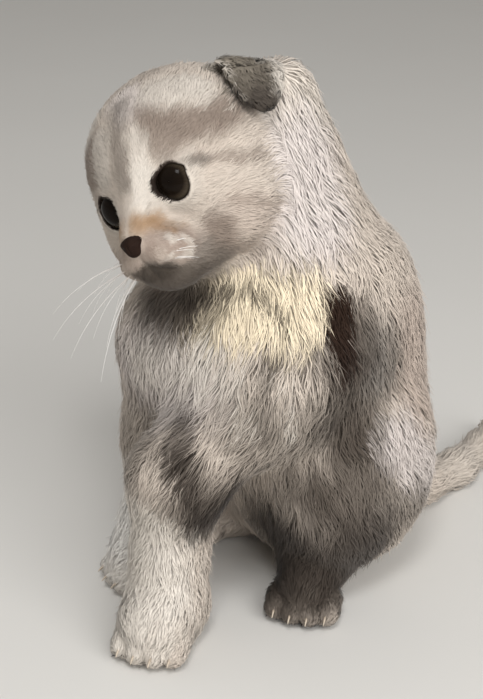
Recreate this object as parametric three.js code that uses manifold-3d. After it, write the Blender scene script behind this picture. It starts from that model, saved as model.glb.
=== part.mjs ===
// A fold-eared kitten with a half-long coat, sitting with its head turned and tilted, at life size.
// Millimetres. The kitten faces -Y, its left side is +X and Z is up. Every outline is the tips of the coat.

import * as THREE from 'three';
import { mergeVertices } from 'three/addons/utils/BufferGeometryUtils.js';
import Module from 'manifold-3d';

const wasm = await Module();
wasm.setup();

// Driving sizes.
const GAP = 0.3;
const COARSE_GAP = 1.0;
const CUTTER = 600;
const MIDDLE = [-8.1, 58.3];

// The head has its own frame: x to its left, y backwards, z up, from a point midway between the eyes.
const HEAD_AT = [-7, -30, 165.5];
const HEAD_TURN = { yaw: 18, pitch: 4, roll: 31 };
const SKULL = { at: [0, 33, 8.5], radii: [33.5, 38, 31.5] };
const CHEEK = { at: [17.5, 23.5, -12], radii: [16, 20, 16.5] };
const JAW = { at: [0, 16, -22], radii: [20, 20, 11] };
const BRIDGE = { from: [0, 7.6, 8], to: [0, -10.4, -12], radii: [9.8, 7.1] };
const WHISKER_PAD = { at: [5.2, -6.6, -19.2], radii: [8.2, 9, 7] };
const CHIN = { at: [0, -1, -26.5], radii: [7.5, 9, 6] };
const NOSE = { at: [0, -16.8, -14.5], radii: [4.4, 3.2, 3.2] };
const EYE = { at: [12.4, 7.6, 0], radius: 9.5, opening: [7.2, 6.5, 7.5], toe_out: 12 };
const HEAD_CORE = [0, 22, -2];
const MUZZLE_CUT = { at: [0, -16, -17.5], radii: [17, 15, 15] };
const JAW_CUT = { at: [0, -2, -33], radii: [12, 22, 8] };

// Each ear is a leaf that rises from the skull and folds over, outwards, forwards and down.
const EAR = {
  root: [20, 42, 22],
  crease: [43.5, 41, 37.5],
  tip: [40, 29.5, 10.5],
  along: [0.6, 0.68, -0.42],
  half_width: 12,
  thickness: 2.2,
};

// Neck and trunk, from the ruff behind the ears down to the seat.
const RUFF = { from: [-3, 28, 190], to: [0, 31, 160], radii: [14.5, 20] };
const NAPE = { from: [-21, 29, 181], to: [-8, 31, 150], radii: [17, 24] };
const NECK = { from: [-6, 24, 160], to: [3, 30, 124], radii: [26, 40] };
const CHEST = { at: [-4, 12, 104], radii: [40, 42, 42] };
const LOIN = { at: [3, 42, 91], radii: [40, 46, 47] };
const SEAT = { at: [5, 49, 42.5], radii: [40, 41, 44.5] };
const TRUNK_CORE = [[7, 48, 36], [4, 42, 80], [-1, 24, 118], [-5, 27, 160], [-9, 28, 182]];
const NECK_CUT = { at: [0, 24, 132], facing: [0, -0.25, 1] };
const RIB_CUT = { at: [0, 30, 92], facing: [0, -0.75, 1] };
const HIP_CUT = { at: [0, 50, 52], facing: [0, -0.35, 1] };

// Forelegs: points down the middle of each, and the coat's radius at them.
const FORELEG = {
  left: {
    shoulder: [23, 2, 98],
    elbow: [8, -30, 64],
    wrist: [6.5, -33, 34],
    palm: [7, -35, 13],
    toes: [13, -45.5, 11.5],
  },
  right: {
    shoulder: [-24, 0, 96],
    elbow: [-26, -6, 60],
    wrist: [-25, -14, 24],
    palm: [-23.5, -13.5, 12],
    toes: [-24.5, -22, 10],
  },
};
const FORELEG_RADII = { shoulder: 20.5, elbow: 16, wrist: 13, palm: 14.6 };
const HINDLEG = {
  left: { hip: [30, 38, 49], knee: [33, 24, 33], hock: [22, 27, 13], toes: [32, 12, 10.5] },
  right: { hip: [-21, 39, 49], knee: [-28, 28, 32], hock: [-26, 35, 13], toes: [-33, 18, 10.5] },
};
const SHOULDER_RADII = [21, 22, 26];
const THIGH_RADII = [20, 33, 35];
const SHANK_RADII = { knee: 14, hock: 12 };
const HIND_PAW_RADIUS = 12.2;
const PAW_ROOM = 1.15;
const ARM_CUT = 23;
const FOREARM_CUT = 21;
const SHANK_CUT = 18;
const THIGH_CUT = [24, 37, 37];

// Four toes to a paw, spread across its front, each with a claw in its tip.
const TOES = [-1.5, -0.5, 0.5, 1.5];
const TOE = { radius: 5, spacing: 6.5, reach: 10, setback: 2.1, height: 5.6 };
const CLAW = { radius: 0.9, length: 3.6, droop: 0.35, sunk: 1.6, sides: 6 };

// The tail lies on the floor behind the seat.
const TAIL_PATH = [[6, 78, 20], [8, 103, 9.5], [8, 128, 7.4], [3, 152, 6.8], [-9, 173, 5.2]];
const TAIL_RADII = [13, 9.4, 8, 7.2, 5.2];
const TAIL_CUTS = [0.4, 0.62, 0.82];

// Colours, from the pale and the shaded coat to the horn of the claws.
const COLOURS = {
  pale_coat: [0xd9d2c6, 0.95],
  cream_coat: [0xd8c7a8, 0.95],
  grey_coat: [0x8f857c, 0.95],
  white_coat: [0xe9e6df, 0.95],
  nose_skin: [0x4a3530, 0.55],
  eye: [0x17120f, 0.08],
  claw_horn: [0xcfc4b4, 0.4],
};

// Distance fields: each gives a signed distance to a rounded shape at a point.
function ellipsoid(at, radii) {
  const shortest = Math.min(...radii);
  return (x, y, z) => {
    const px = (x - at[0]) / radii[0];
    const py = (y - at[1]) / radii[1];
    const pz = (z - at[2]) / radii[2];
    const scaled = Math.hypot(px, py, pz);
    const slope = Math.hypot(px / radii[0], py / radii[1], pz / radii[2]);
    return slope > 1e-9 ? (scaled * (scaled - 1)) / slope : -shortest;
  };
}

function taper(from, to, radii) {
  const axis = to.map((value, i) => value - from[i]);
  const squared = axis[0] ** 2 + axis[1] ** 2 + axis[2] ** 2;
  return (x, y, z) => {
    const px = x - from[0];
    const py = y - from[1];
    const pz = z - from[2];
    const along = (px * axis[0] + py * axis[1] + pz * axis[2]) / squared;
    const t = Math.min(1, Math.max(0, along));
    const off = Math.hypot(px - t * axis[0], py - t * axis[1], pz - t * axis[2]);
    return off - (radii[0] + (radii[1] - radii[0]) * t);
  };
}

// Joins fields with a fillet: each row is a field and the width over which it melts into the ones before.
function melt(rows) {
  return (x, y, z) => {
    let distance = rows[0][0](x, y, z);
    for (const [field, width] of rows.slice(1)) {
      const other = field(x, y, z);
      const near = Math.max(width - Math.abs(distance - other), 0) / width;
      distance = Math.min(distance, other) - (near * near * width) / 4;
    }
    return distance;
  };
}

function mirrored(point, side) {
  return [point[0] * side, point[1], point[2]];
}

// Solids: closed meshes that can be joined and cut.
function toSolid(geometry) {
  const bare = geometry.clone();
  bare.deleteAttribute('normal');
  bare.deleteAttribute('uv');
  const merged = mergeVertices(bare, 1e-4);
  const vertProperties = new Float32Array(merged.attributes.position.array);
  const triVerts = new Uint32Array(merged.index.array);
  return new wasm.Manifold(new wasm.Mesh({ numProp: 3, vertProperties, triVerts }));
}

function toGeometry(solid) {
  const { vertProperties, triVerts } = solid.getMesh();
  const geometry = new THREE.BufferGeometry();
  geometry.setAttribute('position', new THREE.BufferAttribute(vertProperties, 3));
  geometry.setIndex(new THREE.BufferAttribute(triVerts, 1));
  geometry.computeVertexNormals();
  return geometry;
}

function largestPiece(solid) {
  const pieces = solid.decompose();
  return pieces.reduce((best, piece) => (piece.volume() > best.volume() ? piece : best));
}

// Walks in from outside along a ray until the field falls to the wanted level.
function surfaceAlong(field, origin, direction, reach, level) {
  const value = (t) =>
    field(origin.x + direction.x * t, origin.y + direction.y * t, origin.z + direction.z * t) - level;
  const step = 1.5;
  let outside = reach;
  while (outside > step && value(outside - step) > 0) {
    outside -= step;
  }
  let inside = Math.max(outside - step, 0);
  for (let i = 0; i < 24; i += 1) {
    const middle = (inside + outside) / 2;
    if (value(middle) > 0) {
      outside = middle;
    } else {
      inside = middle;
    }
  }
  return origin.clone().addScaledVector(direction, outside);
}

// A ball of small faces, each corner moved along its ray onto the field.
function wrapBall(field, core, reach, detail, level = 0) {
  const geometry = new THREE.IcosahedronGeometry(1, detail);
  const corners = geometry.attributes.position;
  const origin = new THREE.Vector3(...core);
  for (let i = 0; i < corners.count; i += 1) {
    const direction = new THREE.Vector3().fromBufferAttribute(corners, i).normalize();
    const point = surfaceAlong(field, origin, direction, reach, level);
    corners.setXYZ(i, point.x, point.y, point.z);
  }
  return toSolid(geometry);
}

// A capsule carried along a curve, each corner moved out from the curve onto the field.
function wrapCurve(field, curve, reach, facets, level = 0) {
  const span = 2;
  const geometry = new THREE.CapsuleGeometry(1, span, facets.cap, facets.around, facets.along);
  const corners = geometry.attributes.position;
  for (let i = 0; i < corners.count; i += 1) {
    const corner = new THREE.Vector3().fromBufferAttribute(corners, i);
    const straight = Math.min(span / 2, Math.max(-span / 2, corner.y));
    const t = straight / span + 0.5;
    const tangent = curve.getTangent(t);
    const side = new THREE.Vector3(1, 0, 0).addScaledVector(tangent, -tangent.x).normalize();
    const front = side.clone().cross(tangent);
    const direction = side.multiplyScalar(corner.x);
    direction.addScaledVector(tangent, corner.y - straight).addScaledVector(front, corner.z).normalize();
    const point = surfaceAlong(field, curve.getPoint(t), direction, reach, level);
    corners.setXYZ(i, point.x, point.y, point.z);
  }
  return toSolid(geometry);
}

function curveThrough(points) {
  return new THREE.CatmullRomCurve3(points.map((point) => new THREE.Vector3(...point)));
}

// A large block with one face through a point, filling the side that it faces away from.
function blockBehind(at, facing, shift) {
  const normal = new THREE.Vector3(...facing).normalize();
  const block = new THREE.BoxGeometry(CUTTER, CUTTER, CUTTER);
  block.applyQuaternion(new THREE.Quaternion().setFromUnitVectors(new THREE.Vector3(0, 0, 1), normal));
  const centre = new THREE.Vector3(...at).addScaledVector(normal, shift - CUTTER / 2);
  return toSolid(block.translate(centre.x, centre.y, centre.z));
}

// Parts a solid at a plane and leaves the gap of a thin cut between the two pieces.
function partAt(solid, { at, facing }) {
  const behind = blockBehind(at, facing, GAP / 2);
  const ahead = blockBehind(at, facing.map((value) => -value), GAP / 2);
  return { ahead: solid.subtract(behind), behind: solid.subtract(ahead) };
}

// Cutters: each makes a closed region, grown by the gap when it trims what stays behind.
function ellipsoidRegion({ at, radii }) {
  return (grow) => {
    const ball = new THREE.IcosahedronGeometry(1, 1);
    ball.scale(radii[0] + grow, radii[1] + grow, radii[2] + grow);
    return toSolid(ball.translate(...at));
  };
}

function capsuleRegion(from, to, radius) {
  return (grow) => {
    const start = new THREE.Vector3(...from);
    const axis = new THREE.Vector3(...to).sub(start);
    const capsule = new THREE.CapsuleGeometry(radius + grow, axis.length(), 2, 8);
    const upright = new THREE.Vector3(0, 1, 0);
    capsule.applyQuaternion(new THREE.Quaternion().setFromUnitVectors(upright, axis.clone().normalize()));
    const centre = start.addScaledVector(axis, 0.5);
    return toSolid(capsule.translate(centre.x, centre.y, centre.z));
  };
}

const floor = blockBehind([0, 0, 0], [0, 0, 1], 0);

// Head.
const headField = melt([
  [ellipsoid(SKULL.at, SKULL.radii), 0],
  [ellipsoid(CHEEK.at, CHEEK.radii), 12],
  [ellipsoid(mirrored(CHEEK.at, -1), CHEEK.radii), 12],
  [taper(BRIDGE.from, BRIDGE.to, BRIDGE.radii), 10],
  [ellipsoid(WHISKER_PAD.at, WHISKER_PAD.radii), 6],
  [ellipsoid(mirrored(WHISKER_PAD.at, -1), WHISKER_PAD.radii), 6],
  [ellipsoid(CHIN.at, CHIN.radii), 6],
  [ellipsoid(JAW.at, JAW.radii), 10],
]);

const headTurn = new THREE.Euler(
  THREE.MathUtils.degToRad(-HEAD_TURN.pitch),
  THREE.MathUtils.degToRad(-HEAD_TURN.roll),
  THREE.MathUtils.degToRad(HEAD_TURN.yaw),
  'ZXY',
);
const headPlace = new THREE.Matrix4().makeRotationFromEuler(headTurn).setPosition(...HEAD_AT);

function placedOnBody(solid) {
  return toSolid(toGeometry(solid).applyMatrix4(headPlace));
}

function headSolid(detail, level) {
  return wrapBall(headField, HEAD_CORE, 70, detail, level);
}

function eyeball(side, grow) {
  const ball = new THREE.SphereGeometry(EYE.radius + grow, 12, 6);
  ball.rotateX(-Math.PI / 2);
  return toSolid(ball.translate(EYE.at[0] * side, EYE.at[1], EYE.at[2]));
}

// The opening between the lids is an egg-shaped hollow that faces a little outwards.
function eyeOpening(side) {
  const turn = THREE.MathUtils.degToRad(EYE.toe_out * side);
  const hollow = new THREE.IcosahedronGeometry(1, 1);
  hollow.scale(EYE.opening[0], EYE.opening[1], EYE.opening[2]).rotateZ(turn);
  const x = EYE.at[0] * side + Math.sin(turn) * EYE.radius;
  return toSolid(hollow.translate(x, EYE.at[1] - Math.cos(turn) * EYE.radius, EYE.at[2]));
}

// One ear: a ball flattened to a leaf, bent along the curve from its root over the crease to its tip.
function ear(side, grow) {
  const leaf = new THREE.SphereGeometry(1, 10, 8);
  const path = new THREE.QuadraticBezierCurve3(
    new THREE.Vector3(...EAR.root),
    new THREE.Vector3(...EAR.crease),
    new THREE.Vector3(...EAR.tip),
  );
  const corners = leaf.attributes.position;
  for (let i = 0; i < corners.count; i += 1) {
    const t = (corners.getY(i) + 1) / 2;
    const tangent = path.getTangent(t);
    const across = new THREE.Vector3(...EAR.along);
    across.addScaledVector(tangent, -across.dot(tangent)).normalize();
    const normal = across.clone().cross(tangent).normalize();
    const point = path.getPoint(t);
    point.addScaledVector(across, corners.getX(i) * (EAR.half_width + grow));
    point.addScaledVector(normal, corners.getZ(i) * (EAR.thickness + grow));
    corners.setXYZ(i, point.x * side, point.y, point.z);
  }
  if (side < 0) {
    leaf.index.array.reverse();
  }
  return toSolid(leaf);
}

function noseLeather(grow) {
  const ball = new THREE.SphereGeometry(1, 8, 6);
  ball.scale(NOSE.radii[0] + grow, NOSE.radii[1] + grow, NOSE.radii[2] + grow);
  return toSolid(ball.translate(...NOSE.at));
}

// Paws: a rounded sole with four toes across its front, and a claw in each toe.
function aheadOf({ palm, toes }) {
  return new THREE.Vector3(toes[0] - palm[0], toes[1] - palm[1], 0).normalize();
}

function toeCentre(paw, place) {
  const ahead = aheadOf(paw);
  const forward = TOE.reach - TOE.setback * (Math.abs(place) - 0.5);
  const sideways = place * TOE.spacing;
  return [
    paw.toes[0] + ahead.x * forward - ahead.y * sideways,
    paw.toes[1] + ahead.y * forward + ahead.x * sideways,
    TOE.height,
  ];
}

function pawSolid(paw, detail, level) {
  const rows = [[taper(paw.palm, paw.toes, [paw.radius, paw.radius]), 0]];
  for (const place of TOES) {
    rows.push([ellipsoid(toeCentre(paw, place), [TOE.radius, TOE.radius, TOE.radius]), TOE.radius / 2]);
  }
  const core = paw.palm.map((value, i) => (value + 2 * paw.toes[i]) / 3);
  return wrapBall(melt(rows), core, 50, detail, level).subtract(floor);
}

function claw(paw, place, grow) {
  const ahead = aheadOf(paw);
  const direction = new THREE.Vector3(ahead.x, ahead.y, -CLAW.droop).normalize();
  const cone = new THREE.ConeGeometry(CLAW.radius + grow, CLAW.length + 2 * grow, CLAW.sides);
  cone.applyQuaternion(new THREE.Quaternion().setFromUnitVectors(new THREE.Vector3(0, 1, 0), direction));
  const middle = new THREE.Vector3(...toeCentre(paw, place));
  middle.addScaledVector(direction, TOE.radius - CLAW.sunk + CLAW.length / 2);
  return toSolid(cone.translate(middle.x, middle.y, middle.z));
}

// Legs and tail.
function forelegSolid(leg) {
  const { shoulder, elbow, wrist, palm } = FORELEG_RADII;
  const field = melt([
    [taper(leg.shoulder, leg.elbow, [shoulder, elbow]), 0],
    [taper(leg.elbow, leg.wrist, [elbow, wrist]), 14],
    [taper(leg.wrist, leg.palm, [wrist, palm]), 10],
  ]);
  const curve = curveThrough([leg.shoulder, leg.elbow, leg.wrist, leg.palm]);
  return wrapCurve(field, curve, 40, { cap: 2, around: 9, along: 6 });
}

function shankSolid(leg) {
  const field = taper(leg.knee, leg.hock, [SHANK_RADII.knee, SHANK_RADII.hock]);
  return wrapCurve(field, curveThrough([leg.knee, leg.hock]), 30, { cap: 1, around: 9, along: 1 });
}

const tailCurve = curveThrough(TAIL_PATH);

function tailSolid(level) {
  const lengths = TAIL_PATH.slice(1).map((end, i) => [
    taper(TAIL_PATH[i], end, [TAIL_RADII[i], TAIL_RADII[i + 1]]),
    6,
  ]);
  return wrapCurve(melt(lengths), tailCurve, 24, { cap: 2, around: 9, along: 10 }, level).subtract(floor);
}

// Trunk: one smooth body from the seat to the ruff, melted with the shoulders and haunches.
function trunkSolid() {
  const rows = [
    [taper(RUFF.from, RUFF.to, RUFF.radii), 0],
    [taper(NAPE.from, NAPE.to, NAPE.radii), 12],
    [taper(NECK.from, NECK.to, NECK.radii), 14],
    [ellipsoid(CHEST.at, CHEST.radii), 20],
    [ellipsoid(LOIN.at, LOIN.radii), 25],
    [ellipsoid(SEAT.at, SEAT.radii), 25],
  ];
  for (const name of ['left', 'right']) {
    rows.push([ellipsoid(FORELEG[name].shoulder, SHOULDER_RADII), 16]);
    rows.push([ellipsoid(HINDLEG[name].hip, THIGH_RADII), 18]);
  }
  return wrapCurve(melt(rows), curveThrough(TRUNK_CORE), 90, { cap: 3, around: 16, along: 11 });
}

// The scene: every sub-part is a named mesh with a material of its own.
const kitten = new THREE.Group();
kitten.position.set(-MIDDLE[0], -MIDDLE[1], 0);
const headGroup = new THREE.Group();
headGroup.position.set(...HEAD_AT);
headGroup.rotation.copy(headTurn);
kitten.add(headGroup);

function addPart(name, solid, colour, group = kitten) {
  const [color, roughness] = COLOURS[colour];
  const material = new THREE.MeshStandardMaterial({ color, roughness, metalness: 0 });
  const mesh = new THREE.Mesh(toGeometry(largestPiece(solid)), material);
  mesh.name = name;
  group.add(mesh);
}

// The head is made whole in its own frame, then the lower jaw and the muzzle are parted from it.
let head = headSolid(6, 0).subtract(noseLeather(GAP));
let body = trunkSolid();
for (const [name, side] of [['left', 1], ['right', -1]]) {
  head = head.subtract(eyeball(side, GAP)).subtract(eyeOpening(side)).subtract(ear(side, GAP));
  addPart(`eye_${name}`, eyeball(side, 0), 'eye', headGroup);
  addPart(`ear_${name}`, ear(side, 0), 'grey_coat', headGroup);
  body = body.add(forelegSolid(FORELEG[name])).add(shankSolid(HINDLEG[name]));
}
const jawRegion = ellipsoidRegion(JAW_CUT);
const muzzleRegion = ellipsoidRegion(MUZZLE_CUT);
addPart('nose_leather', noseLeather(0), 'nose_skin', headGroup);
addPart('lower_jaw', head.intersect(jawRegion(0)), 'grey_coat', headGroup);
head = head.subtract(jawRegion(GAP));
addPart('muzzle', head.intersect(muzzleRegion(0)), 'cream_coat', headGroup);
addPart('head', head.subtract(muzzleRegion(GAP)), 'pale_coat', headGroup);

// The rest of the body loses the room that the head, ears, paws and tail fill.
body = body.subtract(floor).subtract(placedOnBody(headSolid(4, COARSE_GAP))).subtract(tailSolid(GAP));
for (const [name, side] of [['left', 1], ['right', -1]]) {
  body = body.subtract(placedOnBody(ear(side, GAP)));
  const paws = {
    fore: { ...FORELEG[name], radius: FORELEG_RADII.palm, detail: 4, colour: 'white_coat' },
    hind: {
      ...HINDLEG[name],
      palm: HINDLEG[name].hock,
      radius: HIND_PAW_RADIUS,
      detail: 3,
      colour: 'grey_coat',
    },
  };
  for (const [which, paw] of Object.entries(paws)) {
    let solid = pawSolid(paw, paw.detail, 0);
    TOES.forEach((place, i) => {
      addPart(`claw_${which}_${name}_${i + 1}`, claw(paw, place, 0), 'claw_horn');
      solid = solid.subtract(claw(paw, place, GAP));
    });
    addPart(`${which}_paw_${name}`, solid, paw.colour);
    body = body.subtract(capsuleRegion(paw.palm, paw.toes, paw.radius * PAW_ROOM)(GAP));
  }
}

// Takes one region out of what is left of the body, with a thin cut all round it.
function take(region) {
  const piece = body.intersect(region(0));
  body = body.subtract(region(GAP));
  return piece;
}

for (const [name, side] of [['left', 1], ['right', -1]]) {
  const outwards = (point, distance) => [point[0] + distance * side, point[1], point[2]];
  const { shoulder, elbow, wrist } = FORELEG[name];
  const { hip, knee, hock } = HINDLEG[name];
  const armRegion = capsuleRegion(outwards(shoulder, 5), outwards(elbow, 3), ARM_CUT);
  const thighRegion = ellipsoidRegion({ at: outwards(hip, 6), radii: THIGH_CUT });
  addPart(`upper_arm_${name}`, take(armRegion), 'cream_coat');
  addPart(`forearm_${name}`, take(capsuleRegion(elbow, wrist, FOREARM_CUT)), 'white_coat');
  addPart(`shank_${name}`, take(capsuleRegion(knee, hock, SHANK_CUT)), 'grey_coat');
  addPart(`thigh_${name}`, take(thighRegion), 'grey_coat');
}

let tail = tailSolid(0);
TAIL_CUTS.forEach((t, i) => {
  const facing = tailCurve.getTangent(t).toArray();
  const parted = partAt(tail, { at: tailCurve.getPoint(t).toArray(), facing });
  addPart(`tail_${i + 1}`, parted.behind, 'pale_coat');
  tail = parted.ahead;
});
addPart(`tail_${TAIL_CUTS.length + 1}`, tail, 'white_coat');

const atNeck = partAt(body, NECK_CUT);
const atRibs = partAt(atNeck.behind, RIB_CUT);
const atHips = partAt(atRibs.behind, HIP_CUT);
addPart('neck', atNeck.ahead, 'pale_coat');
addPart('chest', atRibs.ahead, 'cream_coat');
addPart('belly', atHips.ahead, 'grey_coat');
addPart('rump', atHips.behind, 'pale_coat');

export default kitten;
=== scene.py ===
import bpy
import numpy as np
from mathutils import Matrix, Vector


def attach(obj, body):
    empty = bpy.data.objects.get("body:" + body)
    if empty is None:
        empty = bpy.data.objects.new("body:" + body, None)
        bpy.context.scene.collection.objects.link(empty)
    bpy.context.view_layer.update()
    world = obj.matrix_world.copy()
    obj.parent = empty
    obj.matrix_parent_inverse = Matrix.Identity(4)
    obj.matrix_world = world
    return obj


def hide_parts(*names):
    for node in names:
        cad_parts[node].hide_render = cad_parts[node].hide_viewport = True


# A fold-eared kitten with a half-long coat, sitting with its head turned and tilted.
# The frame comes first: everything else is made round it.
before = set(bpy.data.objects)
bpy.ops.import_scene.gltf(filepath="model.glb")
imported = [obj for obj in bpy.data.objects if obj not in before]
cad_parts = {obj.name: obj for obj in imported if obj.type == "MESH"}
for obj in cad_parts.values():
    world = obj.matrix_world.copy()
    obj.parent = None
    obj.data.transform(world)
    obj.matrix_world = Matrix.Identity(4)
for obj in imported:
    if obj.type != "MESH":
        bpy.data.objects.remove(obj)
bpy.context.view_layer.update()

# Sizes are millimetres on the kitten's own axes: it faces -Y, its left is +X and Z is up.
MM = 0.001
BODY_AT = np.array([8.1, -58.3, 0.0])
# The lowest that skin and tufts come, and where no coat grows: this near an eye's rim, and this low.
SOLE_HEIGHT, TUFT_FLOOR = 0.6, 0.3
BARE_RIM, BARE_SOLE = 0.7, 0.9
# How far past its box a shape still counts, and a distance that stands for far away.
REACH = 16.0
FAR = 90.0
rng = np.random.default_rng(23)

# The head has its own axes: x to its left, y backwards, z up, from a point midway between the eyes.
HEAD_AT = np.array([-7.0, -30.0, 165.5])
HEAD_YAW, HEAD_PITCH, HEAD_ROLL = np.radians([18.0, -4.0, -31.0])
SKULL = ((0, 33, 8.5), (33.5, 38, 31.5))
CHEEK = ((17.5, 23.5, -12), (16, 20, 16.5))
JAW = ((0, 16, -22), (20, 20, 11))
BRIDGE = ((0, 8.4, 8), (0, -10.2, -12), (8.3, 6.9))
WHISKER_PAD = ((5.2, -6.6, -19.2), (8.2, 9, 7))
CHIN = ((0, -1, -26.5), (7.5, 9, 6))
EYE_AT = np.array([12.0, 7.6, 0.0])
EYE_RADIUS = 9.5
EYE_OUTWARD = np.radians(12.0)
LID, SOCKET_GAP = 1.1, 0.15
EYE_TILT = np.radians(18.0)
EYE_OPENING = (5.6, 6.7)
EYE_TOP, EYE_TOP_SLOPE = 4.9, 0.12
EYE_CORNERS = (5.7, 1.6)
EYE_CORNER_SHIFT, EYE_CORNER_RAISE = 0.6, 0.8
CORNEA, CORNEA_EDGE = 0.85, (0.25, 0.86)
EYE_RINGS, EYE_SPOKES = 56, 72
EAR_PATH = np.array([(19.2, 41, 22.6), (42.7, 40, 38.1), (39.2, 28.5, 8.9)], float)
EAR_ALONG = np.array([0.6, 0.68, -0.42])
EAR_HALF_WIDTH, EAR_HALF_THICKNESS = 10.4, 0.8
EAR_ROOT_SHARE, EAR_CUP, EAR_STEPS = 0.72, 0.018, 25
NOSE_AT, NOSE_PATCH = np.array([0.0, -16.4, -14.2]), np.array([4.6, 4.0, 3.6])
NOSE_TOP, NOSE_BASE = ((0, -16.0, -12.9), (4.3, 2.9, 2.2)), ((0, -16.4, -15.4), (2.5, 2.5, 2.4))
NOSTRIL = ((2.0, -19.3, -13.7), (3.9, -17.3, -13.2), (0.62, 0.5))
NOSTRIL_CURL = ((3.9, -17.3, -13.2), (3.3, -17.4, -14.9), (0.5, 0.22))
NOSE_GROOVE = ((0, -19.2, -13.4), (0, -18.9, -17.6), (0.2, 0.34))
NOSE_BOX, NOSE_STEP = ((-5.1, 5.2), (-20, -12.4), (-18.6, -10)), 0.2
WHISKER_LENGTH, WHISKER_RADIUS = 38, 0.11

# Neck, trunk, legs and tail: the same sizes as the outline that the coat's tips reach.
RUFF = ((-3, 28, 190), (0, 31, 160), (14.5, 20))
NAPE = ((-21, 29, 181), (-8, 31, 150), (17, 24))
NECK = ((-6, 24, 160), (3, 30, 124), (26, 40))
CHEST = ((-4, 12, 104), (40, 42, 42))
LOIN = ((3, 42, 91), (40, 46, 47))
SEAT = ((5, 49, 42.5), (40, 41, 44.5))
SHOULDER_RADII, THIGH_RADII = (21, 22, 26), (20, 33, 35)
FORELEGS = {
    1: ((23, 2, 98), (8, -30, 64), (6.5, -33, 34), (7, -35, 13), (13, -45.5, 11.5)),
    -1: ((-24, 0, 96), (-26, -6, 60), (-25, -14, 24), (-23.5, -13.5, 12), (-24.5, -22, 10)),
}
FORELEG_RADII = (20.5, 16, 13, 14.6)
HINDLEGS = {
    1: ((30, 38, 49), (33, 24, 33), (22, 27, 13), (32, 12, 10.5)),
    -1: ((-21, 39, 49), (-28, 28, 32), (-26, 35, 13), (-33, 18, 10.5)),
}
SHANK_RADII, HIND_PAW_RADIUS = (14, 12), 12.2
TOES = (-1.5, -0.5, 0.5, 1.5)
TOE_RADIUS, TOE_SPACING, TOE_REACH, TOE_SETBACK, TOE_HEIGHT = 5.0, 6.5, 10.0, 2.1, 5.6
CLAW_LENGTH, CLAW_RADIUS = 4.3, 0.85
TAIL = ((6, 78, 20), (8, 103, 9.5), (8, 128, 7.4), (3, 152, 6.8), (-9, 173, 5.2))
TAIL_RADII = (13, 9.4, 8, 7.2, 5.2)

# The coat of each region: tuft length, tuft width and how far it stands off the skin.
COAT = {
    "ruff": (12.0, 0.46, 2.6),
    "chest": (13.0, 0.48, 3.2),
    "back": (11.5, 0.46, 2.6),
    "haunch": (11.5, 0.46, 2.6),
    "upper_leg": (10.5, 0.46, 2.5),
    "lower_leg": (7.0, 0.46, 2.2),
    "paw": (5.0, 0.48, 1.8),
    "toe": (3.4, 0.42, 1.1),
    "tail": (12.0, 0.5, 2.8),
}
HEAD_COAT_Y = (-16, -6, 5, 20, 45, 68)
HEAD_COAT = {
    "length": (1.2, 2.1, 3.3, 5.5, 8.5, 11.5),
    "width": (0.24, 0.29, 0.34, 0.40, 0.44, 0.46),
    "height": (0.4, 0.6, 0.9, 1.3, 2.0, 2.6),
}
# The ear's coat in the same order, what the cheek's ruff adds to a tuft's length, below what length the
# coat counts as short, and how far one region's coat runs into the next, on the body and on the head.
EAR_COAT = np.array([4.6, 0.36, 1.1])
CHEEK_EXTRA, SHORT_COAT = 4, 8.0
BODY_BLEND, HEAD_BLEND = 2.5, 1.5
# Locks: where the coat is long enough for the next size, and the three sizes.
LOCK_LENGTHS, LOCK_SIZES = (4.2, 9.0), (2.4, 4.0, 6.0)
# Tufts: the range of their length, height and width as shares of the region's, the share whose tips stand
# up and by how much, how deep they are rooted, the ridge along each as a share of half its width, and how
# much more they are shaded as the skin under them than as they lie.
LENGTH_SPREAD, HEIGHT_SPREAD, WIDTH_SPREAD = (0.7, 1.15), (0.45, 1.0), (0.7, 1.2)
LIFTED_SHARE, LIFT = 0.1, 1.9
ROOT_DEPTH, RIDGE, SKIN_SHADING = 0.3, 0.4, 3.0
# How far a tuft turns from the lie by its own chance, by its lock's and by a slow wave; how far its flat side
# leans; and how far it may take its colour from, at least and for each mm of its length.
OWN_SWERVE, LOCK_SWERVE, WAVE_SWERVE, LEAN = 0.10, 0.30, 0.16, 0.25
STRAY, STRAY_BY_LENGTH = 0.05, 0.09


def unit(vectors):
    """Each vector over its own length."""
    return vectors / np.maximum(np.linalg.norm(vectors, axis=-1, keepdims=True), 1e-9)


def smooth(value, low, high):
    """Rises from 0 at low to 1 at high along 3t^2 - 2t^3."""
    t = np.clip((value - low) / (high - low), 0, 1)
    return t * t * (3 - 2 * t)


def turn_about(axis, angle):
    """The matrix of a turn by an angle about one of the three axes."""
    matrix = np.eye(3)
    first, second = (axis + 1) % 3, (axis + 2) % 3
    matrix[first, first] = matrix[second, second] = np.cos(angle)
    matrix[second, first] = np.sin(angle)
    matrix[first, second] = -np.sin(angle)
    return matrix


HEAD_TURN = turn_about(2, HEAD_YAW) @ turn_about(0, HEAD_PITCH) @ turn_about(1, HEAD_ROLL)


def from_head(points):
    """Points on the head's axes, turned and moved to the body's."""
    return HEAD_AT + np.asarray(points, float) @ HEAD_TURN.T


def to_head(points):
    """Points on the body's axes, moved and turned to the head's."""
    return (points - HEAD_AT) @ HEAD_TURN


def mirrored(local):
    """Points on the head's axes with the right side folded over to the left."""
    return np.column_stack([np.abs(local[:, 0]), local[:, 1:]])


# Distance fields. Each takes coordinates that may be whole grids and gives a signed distance.
def melt(first, second, width):
    """The lesser of two fields with a fillet: h^2 w / 4 is taken off, where h = 1 - |a - b| / w."""
    near = np.maximum(width - np.abs(first - second), 0) / width
    return np.minimum(first, second) - near * near * width / 4


def carve(first, second, width):
    """Takes the second shape out of the first with a rounded edge."""
    return -melt(-first, second, width)


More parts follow.
